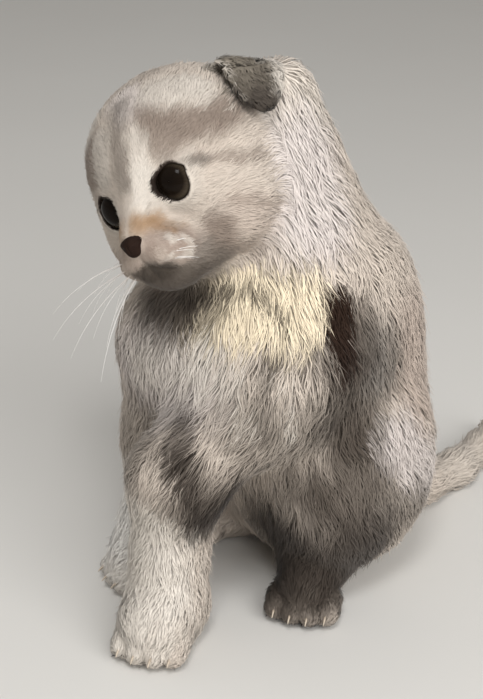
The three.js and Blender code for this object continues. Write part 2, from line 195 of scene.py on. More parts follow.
def join(first, second, width):
    """Melts the second shape into the first, or carves it out where the width is negative."""
    return melt(first, second, width) if width > 0 else carve(first, second, -width)


def ellipsoid(at, radii):
    """With k the scaled distance from the centre, k (k - 1) over the length of k's scaled slope."""
    def field(x, y, z):
        px, py, pz = (x - at[0]) / radii[0], (y - at[1]) / radii[1], (z - at[2]) / radii[2]
        scaled = np.maximum(np.sqrt(px**2 + py**2 + pz**2), 1e-3)
        slope = np.sqrt((px / radii[0]) ** 2 + (py / radii[1]) ** 2 + (pz / radii[2]) ** 2)
        return scaled * (scaled - 1) / np.maximum(slope, 1e-6)
    return field


def taper(start, end, radii):
    """Distance to the nearest place on a line, less a radius that runs from one end's to the other's."""
    axis = np.subtract(end, start)
    squared = float(axis @ axis)

    def field(x, y, z):
        px, py, pz = x - start[0], y - start[1], z - start[2]
        t = np.clip((px * axis[0] + py * axis[1] + pz * axis[2]) / squared, 0, 1)
        off = np.sqrt((px - t * axis[0]) ** 2 + (py - t * axis[1]) ** 2 + (pz - t * axis[2]) ** 2)
        return off - (radii[0] + (radii[1] - radii[0]) * t)
    return field


def ear_frame(t):
    """Point, along, across and through directions of the bent leaf at t, from its middle line's curve."""
    t = np.asarray(t, float)[..., None]
    root, crease, tip = EAR_PATH
    point = (1 - t) ** 2 * root + 2 * t * (1 - t) * crease + t * t * tip
    slope = 2 * (1 - t) * (crease - root) + 2 * t * (tip - crease)
    along = unit(slope)
    across = unit(EAR_ALONG - along * (along @ EAR_ALONG)[..., None])
    return point, slope, along, across, np.cross(across, along)


def ear_leaf(x, y, z):
    """Distance to a thin rounded leaf: past its edge across, through it, and past its ends along."""
    points = np.stack(np.broadcast_arrays(x, y, z), -1)
    shape = points.shape[:-1]
    points = points.reshape(-1, 3)
    steps = np.linspace(0, 1, EAR_STEPS)
    line = ear_frame(steps)[0]
    nearest = ((points[:, None, :] - line[None]) ** 2).sum(-1).argmin(1)
    t = steps[nearest]
    for _ in range(2):
        point, slope, along, across, through = ear_frame(t)
        t = np.clip(t + ((points - point) * slope).sum(-1) / (slope * slope).sum(-1), 0, 1)
    point, slope, along, across, through = ear_frame(t)
    offset = points - point
    sideways = (offset * across).sum(-1)
    rounding = np.sqrt(np.clip(1 - t**6, 0, 1))
    half = EAR_HALF_WIDTH * rounding * (EAR_ROOT_SHARE + (1 - EAR_ROOT_SHARE) * smooth(t, 0, 0.4))
    past = np.maximum(np.abs(sideways) - half + EAR_HALF_THICKNESS, 0)
    cup = (offset * through).sum(-1) - EAR_CUP * sideways**2
    lengthwise = (offset * along).sum(-1)
    return (np.sqrt(past**2 + cup**2 + lengthwise**2) - EAR_HALF_THICKNESS).reshape(shape)


def eye_axes(x, y, z):
    """Offsets from an eye's centre: forwards along its axis, and along and across its tilted opening."""
    dx, dy, dz = np.abs(x) - EYE_AT[0], y - EYE_AT[1], z - EYE_AT[2]
    forward = dx * np.sin(EYE_OUTWARD) - dy * np.cos(EYE_OUTWARD)
    outward = dx * np.cos(EYE_OUTWARD) + dy * np.sin(EYE_OUTWARD)
    along = outward * np.cos(EYE_TILT) + dz * np.sin(EYE_TILT)
    across = -outward * np.sin(EYE_TILT) + dz * np.cos(EYE_TILT)
    return forward, along, across


def flat_ellipse(u, v, radii):
    """The same as an ellipsoid's field, in two directions."""
    scaled = np.maximum(np.sqrt((u / radii[0]) ** 2 + (v / radii[1]) ** 2), 1e-3)
    slope = np.sqrt((u / radii[0] ** 2) ** 2 + (v / radii[1] ** 2) ** 2)
    return scaled * (scaled - 1) / np.maximum(slope, 1e-6)


def eye_outline(along, across):
    """The round opening melted with the narrow one that makes its two corners, under a flat upper lid."""
    corners = flat_ellipse(along - EYE_CORNER_SHIFT, across - EYE_CORNER_RAISE, EYE_CORNERS)
    opening = melt(flat_ellipse(along, across, EYE_OPENING), corners, 2.0)
    return carve(opening, EYE_TOP + EYE_TOP_SLOPE * along - across, 2.5)


def eye_opening(x, y, z):
    """The eye's outline, in front of the eye only."""
    forward, along, across = eye_axes(x, y, z)
    return np.maximum(eye_outline(along, across), 2.0 - forward)


def head_depth(y):
    """The height of the head's coat, which grows from the nose backwards."""
    return np.interp(y, HEAD_COAT_Y, HEAD_COAT["height"])


# What the skull melts with: each field, its melt width, and whether it is on both sides.
HEAD_SHAPES = (
    (ellipsoid(*CHEEK), 12, True),
    (taper(*BRIDGE), 10, False),
    (ellipsoid(*WHISKER_PAD), 6, True),
    (ellipsoid(*CHIN), 6, False),
    (ellipsoid(*JAW), 10, False),
)
# The line of the mouth: its points from the nose outwards, and its radius at each.
MOUTH = (
    ((0, -16.4, -17.6), 0.25),
    ((0, -15.4, -20.6), 0.3),
    ((1.9, -13.8, -21.9), 0.3),
    ((5.2, -11.4, -24.8), 0.3),
    ((9.6, -7.4, -28.2), 0.2),
)
MOUTH_LINE = [taper(start, end, (first, last)) for (start, first), (end, last) in zip(MOUTH, MOUTH[1:])]


def head_field(x, y, z):
    """Skull, cheeks, jaw, bridge and muzzle melted together, less the depth of the coat."""
    side = np.abs(x)
    value = ellipsoid(*SKULL)(x, y, z)
    for field, width, both in HEAD_SHAPES:
        value = melt(value, field(side if both else x, y, z), width)
    return value + head_depth(np.broadcast_to(y, value.shape))


def head_skin(x, y, z):
    """The head with its folded ears, its lids round hollow sockets, and the line of its mouth."""
    side = np.abs(x)
    value = head_field(x, y, z)
    distance = np.sqrt((side - EYE_AT[0]) ** 2 + (y - EYE_AT[1]) ** 2 + (z - EYE_AT[2]) ** 2)
    value = melt(value, distance - EYE_RADIUS - LID, 3)
    value = melt(value, ear_leaf(side, y, z), 4)
    value = carve(value, eye_opening(x, y, z), 0.7)
    value = np.maximum(value, EYE_RADIUS + SOCKET_GAP - distance)
    for groove in MOUTH_LINE:
        value = carve(value, groove(side, y, z), 0.8)
    return value


def on_body(field):
    """A field on the head's own axes, read from the body's."""
    def placed(x, y, z):
        dx, dy, dz = x - HEAD_AT[0], y - HEAD_AT[1], z - HEAD_AT[2]
        turned = [dx * HEAD_TURN[0, k] + dy * HEAD_TURN[1, k] + dz * HEAD_TURN[2, k] for k in range(3)]
        return field(*turned)
    return placed


def box_of(*points, reach):
    """The least and greatest corners of a box round points, with room to spare on each side."""
    corners = np.array(points, float)
    return corners.min(0) - reach, corners.max(0) + reach


class Lump:
    """One rounded shape of the body: its box, field, melt width, coat and the lie of its fur."""

    def __init__(self, box, field, width, coat, lie):
        self.low, self.high = box
        self.field, self.width, self.coat, self.lie = field, width, coat, lie


def inset(radii, coat):
    """Radii less the depth of a coat."""
    return [radius - COAT[coat][2] for radius in radii]


def round_lump(at, radii, width, coat, lie):
    """An ellipsoid inset by its coat's depth."""
    return Lump(box_of(at, reach=max(radii)), ellipsoid(at, inset(radii, coat)), width, coat, lie)


def long_lump(start, end, radii, width, coat, lie=None):
    """A taper inset by its coat's depth, its fur lying along it unless another lie is given."""
    along = np.subtract(end, start).astype(float) if lie is None else lie
    box = box_of(start, end, reach=max(radii))
    return Lump(box, taper(start, end, inset(radii, coat)), width, coat, along)


def toe_places(palm, toes):
    """The way that a paw points, and the centres of its four toes in an arc across its front."""
    ahead = unit(np.array([toes[0] - palm[0], toes[1] - palm[1], 0.0]))
    across = np.array([-ahead[1], ahead[0], 0.0])
    centres = []
    for place in TOES:
        reach = TOE_REACH - TOE_SETBACK * (abs(place) - 0.5)
        at = np.array(toes) + ahead * reach + across * place * TOE_SPACING
        at[2] = TOE_HEIGHT
        centres.append(at)
    return ahead, centres


def paw_lumps(palm, toes, radius):
    """The sole and four toes, each running down to its centre from a root behind and above it."""
    ahead, centres = toe_places(palm, toes)
    forwards = ahead + (0, 0, -0.25)
    lumps = [long_lump(palm, toes, (radius, radius), 8, "paw", forwards)]
    for at in centres:
        root = at - ahead * 7 + (0, 0, 2.2)
        lumps.append(long_lump(root, at, (TOE_RADIUS, TOE_RADIUS), 1.6, "toe", forwards))
    return lumps


def body_lumps():
    """Trunk, legs, paws and tail, in the order in which they melt together."""
    down, down_back = np.array([0, 0.05, -1]), np.array([0, 0.35, -1])
    lumps = [
        long_lump(*RUFF, 1, "ruff", np.array([0.15, 0.35, -1])),
        long_lump(*NAPE, 12, "ruff", np.array([0, 0.35, -1])),
        long_lump(*NECK, 14, "ruff", np.array([0, 0.1, -1])),
        round_lump(*CHEST, 20, "chest", down),
        round_lump(*LOIN, 25, "back", np.array([0, 0.2, -1])),
        round_lump(*SEAT, 25, "haunch", down_back),
    ]
    radii = FORELEG_RADII
    for side in (1, -1):
        shoulder, elbow, wrist, palm, toes = FORELEGS[side]
        hip, knee, hock, hind_toes = HINDLEGS[side]
        lumps += [
            round_lump(shoulder, SHOULDER_RADII, 16, "chest", down),
            round_lump(hip, THIGH_RADII, 18, "haunch", np.array([0, 0.3, -1])),
            long_lump(shoulder, elbow, radii[:2], 12, "upper_leg"),
            long_lump(elbow, wrist, radii[1:3], 14, "lower_leg"),
            long_lump(wrist, palm, radii[2:], 10, "lower_leg", np.array([0, -0.2, -1])),
            long_lump(knee, hock, SHANK_RADII, 10, "lower_leg"),
            *paw_lumps(palm, toes, radii[3]),
            *paw_lumps(hock, hind_toes, HIND_PAW_RADIUS),
        ]
    for i, (start, end) in enumerate(zip(TAIL, TAIL[1:])):
        lumps.append(long_lump(start, end, TAIL_RADII[i:i + 2], 8, "tail"))
    return lumps


LUMPS = body_lumps()
HEAD_BOX = box_of(from_head((0, 26, 4)), reach=56)


def ladder(*stops):
    """Grid lines between stops, each stretch at its own spacing."""
    lines = [
        np.linspace(low, high, int(round((high - low) / step)), endpoint=False)
        for low, high, step in stops
    ]
    return np.concatenate([*lines, [stops[-1][1]]])


FINE, MIDDLE, COARSE = ((0.72, 1.2, 2.1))
# Grid lines along x, y and z: finest where the face and forepaws are.
AXES = (
    ladder((-72, -48, COARSE), (-48, 22, FINE), (22, 62, COARSE)),
    ladder((-72, -60, COARSE), (-60, -14, FINE), (-14, 4, MIDDLE), (4, 190, COARSE)),
    ladder((-4, 16, MIDDLE), (16, 138, COARSE), (138, 190, FINE), (190, 222, COARSE)),
)

# Creases of the coat, as lines of points with their radius: under the cheek and down the flank.
FOLDS = [
    ([(4, -22, 134), (18, -12, 138), (25, -9, 137), (37, -3, 128)], 2.6),
    ([(33, -18, 113), (46, -6, 107), (47, -1, 92), (45, 7, 74)], 2.4),
]


def shapes():
    """Every shape in turn with its box and melt width: the lumps, the head, then the folds carved out."""
    rows = [(lump.low, lump.high, lump.field, lump.width) for lump in LUMPS]
    rows.append((*HEAD_BOX, on_body(head_skin), 5))
    for line, radius in FOLDS:
        for start, end in zip(line, line[1:]):
            rows.append((*box_of(start, end, reach=radius), taper(start, end, (radius, radius)), -4))
    return rows


def fill_grid():
    """Joins every shape into one grid of distances, each inside its own box only."""
    value = np.full([len(axis) for axis in AXES], FAR, np.float32)

    def add(low, high, field, width):
        span = tuple(
            slice(*np.searchsorted(axis, (low[k] - REACH, high[k] + REACH))) for k, axis in enumerate(AXES)
        )
        lines = [axis[part] for axis, part in zip(AXES, span)]
        x, y, z = np.meshgrid(*lines, indexing="ij", sparse=True)
        value[span] = join(value[span], field(x, y, z), width)

    for row in shapes():
        add(*row)
    ground = SOLE_HEIGHT - AXES[2]
    return np.maximum(value, ground.astype(np.float32)[None, None, :])


class Field:
    """A grid of distances that can be read anywhere."""

    def __init__(self, value):
        self.value = value

    def at(self, points):
        """The value between grid nodes, mixed along each axis in turn."""
        low, share = [], []
        for k, axis in enumerate(AXES):
            place = np.interp(points[:, k], axis, np.arange(len(axis)))
            first = np.clip(place.astype(int), 0, len(axis) - 2)
            low.append(first)
            share.append(place - first)
        total = 0
        for corner in np.ndindex(2, 2, 2):
            weight = 1
            for k in range(3):
                weight = weight * (share[k] if corner[k] else 1 - share[k])
            total = total + weight * self.value[tuple(low[k] + corner[k] for k in range(3))]
        return total

    def slope(self, points, step=0.7):
        """The direction in which the distance grows, from differences to each side."""
        shifts = np.eye(3) * step
        return unit(np.stack([self.at(points + s) - self.at(points - s) for s in shifts], -1))


def surface_net(axes, value):
    """One point in each cell that the surface crosses, at the mean of its crossed edges,
    and one quad round each crossed edge."""
    counts = np.array(value.shape)
    cell_ids, crossings, quads = [], [], []
    for axis in range(3):
        below, above = [slice(None)] * 3, [slice(None)] * 3
        below[axis], above[axis] = slice(None, -1), slice(1, None)
        crossed = (value[tuple(below)] < 0) != (value[tuple(above)] < 0)
        index = np.argwhere(crossed)
        step, u, v = np.roll(np.eye(3, dtype=int), -axis, axis=0)
        first = value[tuple(index.T)]
        second = value[tuple((index + step).T)]
        place = np.stack([axes[k][index[:, k]] for k in range(3)], 1).astype(float)
        gap = axes[axis][index[:, axis] + 1] - axes[axis][index[:, axis]]
        place[:, axis] += gap * first / (first - second)
        around = index[:, None, :] - np.array([0 * u, u, u + v, v])[None]
        ids = np.ravel_multi_index(tuple(around.transpose(2, 0, 1)), counts)
        cell_ids.append(ids.ravel())
        crossings.append(np.repeat(place, 4, axis=0))
        quads.append(np.where((first < 0)[:, None], ids, ids[:, ::-1]))
    used, inverse = np.unique(np.concatenate(cell_ids), return_inverse=True)
    place = np.concatenate(crossings)
    total = np.bincount(inverse)
    points = np.stack([np.bincount(inverse, place[:, k]) / total for k in range(3)], 1)
    return points, np.searchsorted(used, np.concatenate(quads))


def settle(points, field, rounds=3, step=0.25):
    """Moves each point along the field's slope until it lies on the surface."""
    for _ in range(rounds):
        here = field(*points.T)
        slope = np.stack([
            field(*(points + s).T) - field(*(points - s).T) for s in np.eye(3) * step
        ], -1) / (2 * step)
        squared = np.maximum((slope * slope).sum(-1), 0.25)
        points = points - slope * (here / squared)[:, None] * 0.8
    return points


# Pieces.
def new_piece(name, points, faces, material, slot, uv=None, shading=None, **attributes):
    """A mesh from whole arrays: points in the kitten's millimetres, and faces of one size."""
    mesh = bpy.data.meshes.new(name)
    mesh.vertices.add(len(points))
    mesh.vertices.foreach_set("co", ((points + BODY_AT) * MM).astype(np.float32).ravel())
    mesh.loops.add(faces.size)
    mesh.loops.foreach_set("vertex_index", faces.astype(np.int32).ravel())
    mesh.polygons.add(len(faces))
    mesh.polygons.foreach_set("loop_start", np.arange(len(faces), dtype=np.int32) * faces.shape[1])
    mesh.update(calc_edges=True)
    mesh.polygons.foreach_set("use_smooth", np.ones(len(faces), bool))
    if uv is not None:
        layer = mesh.uv_layers.new(name="OFBake")
        layer.data.foreach_set("uv", uv[faces.ravel()].astype(np.float32).ravel())
    if shading is not None:
        attributes["custom_normal"] = shading
    for key, values in attributes.items():
        store = mesh.attributes.new(key, "FLOAT_VECTOR", "POINT")
        store.data.foreach_set("vector", values.astype(np.float32).ravel())
    mesh.materials.append(material)
    piece = bpy.data.objects.new(name, mesh)
    bpy.context.scene.collection.objects.link(piece)
    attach(piece, "root")
    return piece


# Shader maths.
class Socket:
    """One output of a node, with arithmetic that adds Math nodes."""

    def __init__(self, tree, link):
        self.tree, self.link = tree, link

    def node(self, kind, settings=(), **inputs):
        """Adds a node: its settings first, then the values or links of its sockets."""
        made = self.tree.nodes.new(kind)
        for key, value in dict(settings).items():
            if key == "stops":
                ramp = made.color_ramp
                while len(ramp.elements) < len(value):
                    ramp.elements.new(0.5)
                for element, (position, colour) in zip(ramp.elements, value):
                    element.position, element.color = position, (*colour, 1)
            else:
                setattr(made, key, value)
        for key, value in inputs.items():
            place = int(key[1:]) if key[0] == "_" else key.replace("_", " ")
            if isinstance(value, Socket):
                self.tree.links.new(value.link, made.inputs[place])
            else:
                made.inputs[place].default_value = value
        return made

    def math(self, operation, *values):
        """One Math node over values that may be sockets or numbers."""
        inputs = {f"_{i}": value for i, value in enumerate(values)}
        made = self.node("ShaderNodeMath", {"operation": operation}, **inputs)
        return Socket(self.tree, made.outputs[0])

    def __add__(self, other):
        return self.math("ADD", self, other)

    def __mul__(self, other):
        return self.math("MULTIPLY", self, other)

    def __sub__(self, other):
        return self.math("SUBTRACT", self, other)

    def __rsub__(self, other):
        return self.math("SUBTRACT", other, self)

    __radd__ = __add__
    __rmul__ = __mul__

    def grey(self):
        """The same number in a colour's three parts."""
        made = self.node("ShaderNodeCombineColor", _0=self, _1=self, _2=self)
        return Socket(self.tree, made.outputs[0])

    def times(self, other):
        """Two colours multiplied part by part."""
        made = self.node("ShaderNodeVectorMath", {"operation": "MULTIPLY"}, _0=self, _1=other)
        return Socket(self.tree, made.outputs[0])

    def mixed(self, first, second):
        """A colour that runs from the first to the second as this value goes from 0 to 1."""
        made = self.node("ShaderNodeMix", {"data_type": "RGBA"}, _0=self, _6=first, _7=second)
        return Socket(self.tree, made.outputs[2])


def rgb(red, green, blue):
    """A solid colour."""
    return (red, green, blue, 1.0)


def new_material(name, build, roughness, **constants):
    """A Principled material: constants on its own sockets, and what varies is linked as build gives it."""
    material = bpy.data.materials.new(name)
    material.use_nodes = True
    tree = material.node_tree
    shader = tree.nodes["Principled BSDF"]
    shader.inputs["Roughness"].default_value = roughness
    for key, value in constants.items():
        shader.inputs[key.replace("_", " ")].default_value = value
    for key, value in build(Socket(tree, None)).items():
        tree.links.new(value.link, shader.inputs[key])
    return material


def read_attribute(start, name):
    """A named attribute of three numbers: as one colour, and apart."""
    found = start.node("ShaderNodeAttribute", {"attribute_name": name})
    whole = Socket(start.tree, found.outputs["Vector"])
    split = start.node("ShaderNodeSeparateXYZ", _0=whole)
    return whole, [Socket(start.tree, output) for output in split.outputs]


def own_place(start):
    """The piece's own coordinates."""
    return Socket(start.tree, start.node("ShaderNodeTexCoord").outputs["Object"])


def noise(start, scale, detail=2.0, vector=None):
    """Noise from 0 to 1, on the piece's own coordinates unless another vector is given."""
    if vector is None:
        vector = own_place(start)
    made = start.node("ShaderNodeTexNoise", Vector=vector, Scale=scale, Detail=detail)
    return Socket(start.tree, made.outputs["Fac"])


def ramp(start, value, stops):
    """A colour read off a row of stops."""
    made = start.node("ShaderNodeValToRGB", {"stops": stops}, _0=value)
    return Socket(start.tree, made.outputs["Color"])


def relief(start, height, strength, distance, settings=()):
    """Fine relief from a height that runs from 0 to 1."""
    bump = start.node("ShaderNodeBump", settings, Height=height, Strength=strength, Distance=distance)
    return Socket(start.tree, bump.outputs[0])


def build_coat(start):
    """The tint, with painted shade towards each tuft's root, paler at its tip, and each tuft a little apart.
    """
    tint, _ = read_attribute(start, "tint")
    _, (along, chance, lock) = read_attribute(start, "strand")
    fine = noise(start, 1500.0)
    shade = 0.88 + along * 0.10 + chance * 0.08 + lock * 0.08 + (fine - 0.5) * 0.10
    return {"Base Color": tint.times(shade.grey()), "Roughness": 0.62 + fine * 0.3}


def build_skin(start):
    """The same tint a little deeper, with a fine uneven grain."""
    tint, _ = read_attribute(start, "tint")
    fine = noise(start, 2400.0)
    return {
        "Base Color": tint.times((0.86 + fine * 0.2).grey()),
        "Roughness": 0.6 + fine * 0.3,
        "Normal": relief(start, fine, 0.25, 0.0004),
    }


def build_eye(start):
    """Rings from the middle outwards: black pupil, dark hazel iris with spokes, dark edge, dim white."""
    _, (radius, across, upward) = read_attribute(start, "ring")
    spokes = start.node("ShaderNodeCombineXYZ", _0=radius * 0.4, _1=across * 7.0, _2=upward * 7.0)
    streak = noise(start, 2.2, 4.0, Socket(start.tree, spokes.outputs[0]))
    place = radius + (streak - 0.5) * 0.035
    colour = ramp(start, place, EYE_STOPS)
    return {"Base Color": colour.times((0.55 + streak * 0.9).grey()), "Roughness": 0.08 + streak * 0.06}


def build_nose(start):
    """Dark brown leather with a pebbled grain, a little paler where it is rubbed."""
    cells = start.node("ShaderNodeTexVoronoi", Vector=own_place(start), Scale=2600.0)
    pebble = Socket(start.tree, cells.outputs["Distance"])
    patchy = noise(start, 420.0)
    return {
        "Base Color": (patchy * 0.9 + pebble * 0.25).mixed(NOSE_DARK, NOSE_WORN),
        "Roughness": 0.46 + pebble * 0.22,
        "Normal": relief(start, pebble, 0.45, 0.0002, {"invert": True}),
    }


def build_claw(start):
    """Horn, darker at its root and paler at its tip, with lengthwise grain."""
    _, (along, across, _) = read_attribute(start, "grain")
    drawn_out = start.node("ShaderNodeCombineXYZ", _0=along * 0.6, _1=across * 9.0, _2=0.0)
    grain = noise(start, 3.0, 3.0, Socket(start.tree, drawn_out.outputs[0]))
    return {
        "Base Color": (along * 0.7 + (grain - 0.5) * 0.5 + 0.1).mixed(CLAW_ROOT, CLAW_TIP),
        "Roughness": 0.28 + grain * 0.2,
        "Normal": relief(start, grain, 0.2, 0.0001),
    }


def build_whisker(start):
    """White hair, a little greyer at its root."""
    _, (along, chance, _) = read_attribute(start, "strand")
    colour = (along * 1.6 + chance * 0.2).mixed(WHISKER_ROOT, WHISKER_TIP)
    return {"Base Color": colour, "Roughness": 0.28 + chance * 0.15}


def build_floor(start):
    """Matt pale card with a barely seen mottle."""
    mottle = noise(start, 6.0, 4.0)
    return {"Base Color": mottle.mixed(FLOOR_DARK, FLOOR_PALE), "Roughness": 0.75 + mottle * 0.15}


NOSE_DARK, NOSE_WORN = rgb(0.009, 0.005, 0.004), rgb(0.028, 0.016, 0.012)
CLAW_ROOT, CLAW_TIP = rgb(0.30, 0.22, 0.16), rgb(0.70, 0.62, 0.50)
WHISKER_ROOT, WHISKER_TIP = rgb(0.55, 0.50, 0.46), rgb(0.90, 0.88, 0.85)
FLOOR_DARK, FLOOR_PALE = rgb(0.66, 0.645, 0.615), rgb(0.69, 0.675, 0.645)
# Colours of the eye by the distance from its line of sight, in centimetres.
EYE_STOPS = (
    (0.0, (0.006, 0.004, 0.003)),
    (0.44, (0.009, 0.006, 0.004)),
    (0.52, (0.030, 0.022, 0.015)),
    (0.60, (0.052, 0.041, 0.029)),
    (0.74, (0.014, 0.010, 0.007)),
    (0.84, (0.16, 0.13, 0.11)),
)

coat_material = new_material(
    "kitten_coat", build_coat, 0.8, Specular_IOR_Level=0.15, Sheen_Weight=0.1, Sheen_Roughness=0.5
)
skin_material = new_material("kitten_skin", build_skin, 0.75, Specular_IOR_Level=0.2)
eye_material = new_material("kitten_eye", build_eye, 0.1, IOR=1.22, Specular_IOR_Level=0.25)
nose_material = new_material("nose_leather", build_nose, 0.5, Specular_IOR_Level=0.05)
claw_material = new_material("claw_horn", build_claw, 0.3, Specular_IOR_Level=0.5)
whisker_material = new_material("whisker_hair", build_whisker, 0.3, Specular_IOR_Level=0.5)


# Markings and painted shade. Each row is a colour laid over those before it: the points of its middle, its
# radius or radii, how soft its edge is as a share of that, and its strength. The head's rows also name their
# axes: "head" for its own, or "face" for the same on both sides. Rows that are painted shade say so above
# them.
WAVE_WAYS = np.array([[1.1, 0.3, -0.4], [-0.5, 1.2, 0.3], [0.2, -0.7, 0.9]])


def wander(points, size):
    """A slow wave in each direction, from sines whose length is the given size."""
    angle = points @ WAVE_WAYS.T * (2 * np.pi / size)
    return np.sin(angle + np.sin(angle[:, ::-1] * 0.7 + 1.3))


PALE = (0.60, 0.52, 0.445)
WHITE = (0.74, 0.68, 0.605)
# A white paler than the near paw's, laid on the far forepaw as painted light against the shade that falls
# there.
PAINTED_LIGHT_WHITE = (0.86, 0.83, 0.78)
MILK = (0.60, 0.545, 0.48)
CREAM = (0.84, 0.72, 0.53)
LILAC = (0.66, 0.595, 0.56)
TAN = (0.36, 0.225, 0.125)
PINK = (0.45, 0.345, 0.29)
ROSE = (0.33, 0.25, 0.205)
TAUPE = (0.24, 0.19, 0.155)
SLATE = (0.19, 0.172, 0.155)
GREY = (0.15, 0.128, 0.108)
SMOKE = (0.075, 0.060, 0.048)
# Near-black painted shade, laid only where shade falls: in creases, between the near foreleg and the body,
# under the belly and on the hind paw.
PAINTED_DEEP_SHADE = (0.026, 0.019, 0.015)
UMBER = (0.026, 0.014, 0.009)
BARE = (0.024, 0.016, 0.012)
# The folded ear's grey fur at its top, and darker at its lower edge, where the darkness is partly painted
# shade under the fold of the flap.
EAR_TOP = (0.19, 0.165, 0.132)
EAR_LOW_AND_SHADE = (0.07, 0.058, 0.048)

# The crease under the cheek and over the shoulder, along which shade is painted.
SHOULDER_CREASE_SHADE = [(4, -22, 125), (11, -17, 128.5), (18.3, -10.5, 132), (25, -6.3, 132), (34, -3.5, 124)]
BODY_MARKS_AND_SHADE = [
    (WHITE, [(8, 20, 200), (10, 26, 188)], 15, 1.0, 0.5),
    (LILAC, [(22, 20, 176), (26, 18, 156)], 17, 0.9, 0.9),
    (PINK, [(44, 58, 105), (42, 60, 80)], 18, 1.2, 0.5),
    (LILAC, [(-6, -24, 97)], (30, 18, 20), 0.8, 0.9),
    (WHITE, [(-14, -26, 99), (6, -25, 103)], 10, 1.0, 0.65),
    (CREAM, [(15, -18, 126), (36, 0, 127)], 15, 0.6, 1.0),
    # Painted shadow along the lower edge of the cream patch.
    (GREY, [(36, -6, 114), (42, 0, 113), (44, 5, 113)], 4.5, 1.2, 0.5),
    # Grey throat fur, darkened further by painted shade under the chin.
    (SMOKE, [(-4, -24, 126)], (22, 15, 15), 0.9, 0.95),
    (GREY, [(34.2, -14, 109), (36, -14.5, 86)], 4.6, 1.0, 0.7),
    (GREY, [(44, 5, 110), (45, 8, 92), (43, 8, 76)], 6, 1.0, 0.6),
    (GREY, [(34, -15, 88), (42, 0, 86)], 15, 1.0, 0.55),
    (WHITE, [(14, -23, 112), (16, -24.5, 100)], 5.0, 1.0, 0.8),
    (WHITE, [(21, -20, 112), (23, -22, 101)], 4.0, 1.0, 0.8),
    (WHITE, [(29, -19, 108), (30.5, -20, 88)], 3.6, 1.0, 0.7),
    (WHITE, [(38.5, -9, 106), (38.5, -8, 84)], 3.6, 1.0, 0.6),
    # Painted shade along the underside behind the near foreleg.
    (SMOKE, [(20, -34, 60), (31, -22, 58), (42, 2, 56)], 13, 1.2, 0.9),
    (GREY, [(1, -40, 76), (-3, -44, 58)], 9, 1.2, 0.5),
    # Painted shadow between the near foreleg and the chest, and in the gap between the foreleg and the flank.
    (SMOKE, [(13, -32, 87), (19.7, -37.7, 73)], 6.5, 1.3, 0.8),
    (PAINTED_DEEP_SHADE, [(18.5, -37.5, 76), (20, -37, 64), (19.5, -30, 49)], 6.8, 1.2, 0.85),
    (PAINTED_DEEP_SHADE, [(26, -22, 54), (26, -6, 46)], 9, 1.3, 0.8),
    # Painted shade in the creases under the cheek, over the shoulder and down the fold of the flank.
    (PAINTED_DEEP_SHADE, SHOULDER_CREASE_SHADE, 2.8, 1.3, 0.8),
    (SMOKE, [(22, -1, 138), (27, 3, 137), (31, 8, 137)], 2.6, 1.4, 0.6),
    (SMOKE, [(35, -13, 112), (41, -5, 109.5), (42.7, -1, 98), (41.5, 3, 80)], 2.6, 1.2, 0.75),
    (SMOKE, [(43.5, 12, 102), (44, 16, 90), (46, 20, 74)], 9.5, 1.1, 0.9),
    (SMOKE, [(45, 26, 96), (46.5, 28, 76)], 10, 1.1, 0.7),
    (SMOKE, [(49, 26, 62), (46, 18, 48)], 14, 1.0, 0.85),
    (SLATE, [(43, 30, 110), (44, 34, 97)], 9, 1.2, 0.8),
    (SMOKE, [(43, 21, 120), (45, 23, 104)], 8.5, 1.3, 0.8),
    (GREY, [(43, 42, 108), (44, 42, 92)], 7, 1.2, 0.5),
    (UMBER, [(41.5, 17, 127), (43, 15.5, 118), (44.5, 15, 105)], 6.4, 0.7, 1.0),
    (LILAC, [(50.5, 42, 69), (51.5, 51, 56), (46, 64, 46)], 11.5, 0.9, 0.85),
    # Painted shade along the underside of the rump.
    (GREY, [(51, 34, 42), (50, 54, 36)], 10, 1.0, 0.7),
    (GREY, [(-19, -23, 62)], (16, 18, 22), 0.9, 0.55),
    # Painted shade under the belly.
    (PAINTED_DEEP_SHADE, [(18, 10, 24), (30, 16, 26), (44, 26, 24)], 19, 0.9, 0.9),
    (SMOKE, [(-24, 46, 110)], (20, 24, 26), 0.9, 0.7),
    (GREY, [(-34, 40, 74)], (18, 22, 24), 1.0, 0.7),
    (GREY, [(0, 84, 92)], (16, 12, 30), 1.2, 0.4),
    # Painted shade on the near hind paw, which sits under the body.
    (SMOKE, [(30, 8, 10)], (20, 22, 13), 0.9, 0.9),
    (PAINTED_DEEP_SHADE, [(31, 9, 16)], (16, 16, 10), 1.0, 0.6),
    (WHITE, [(3, -46, 41), (7, -47, 10)], 20.5, 0.5, 1.0),
    # Painted light: the far forepaw is made paler than the near one to offset its shade.
    (PAINTED_LIGHT_WHITE, [(-26, -24, 28), (-26, -20, 8)], 19, 1.0, 1.0),
    (MILK, [(8, 128, 10), (-9, 173, 6)], 16, 1.0, 0.5),
]
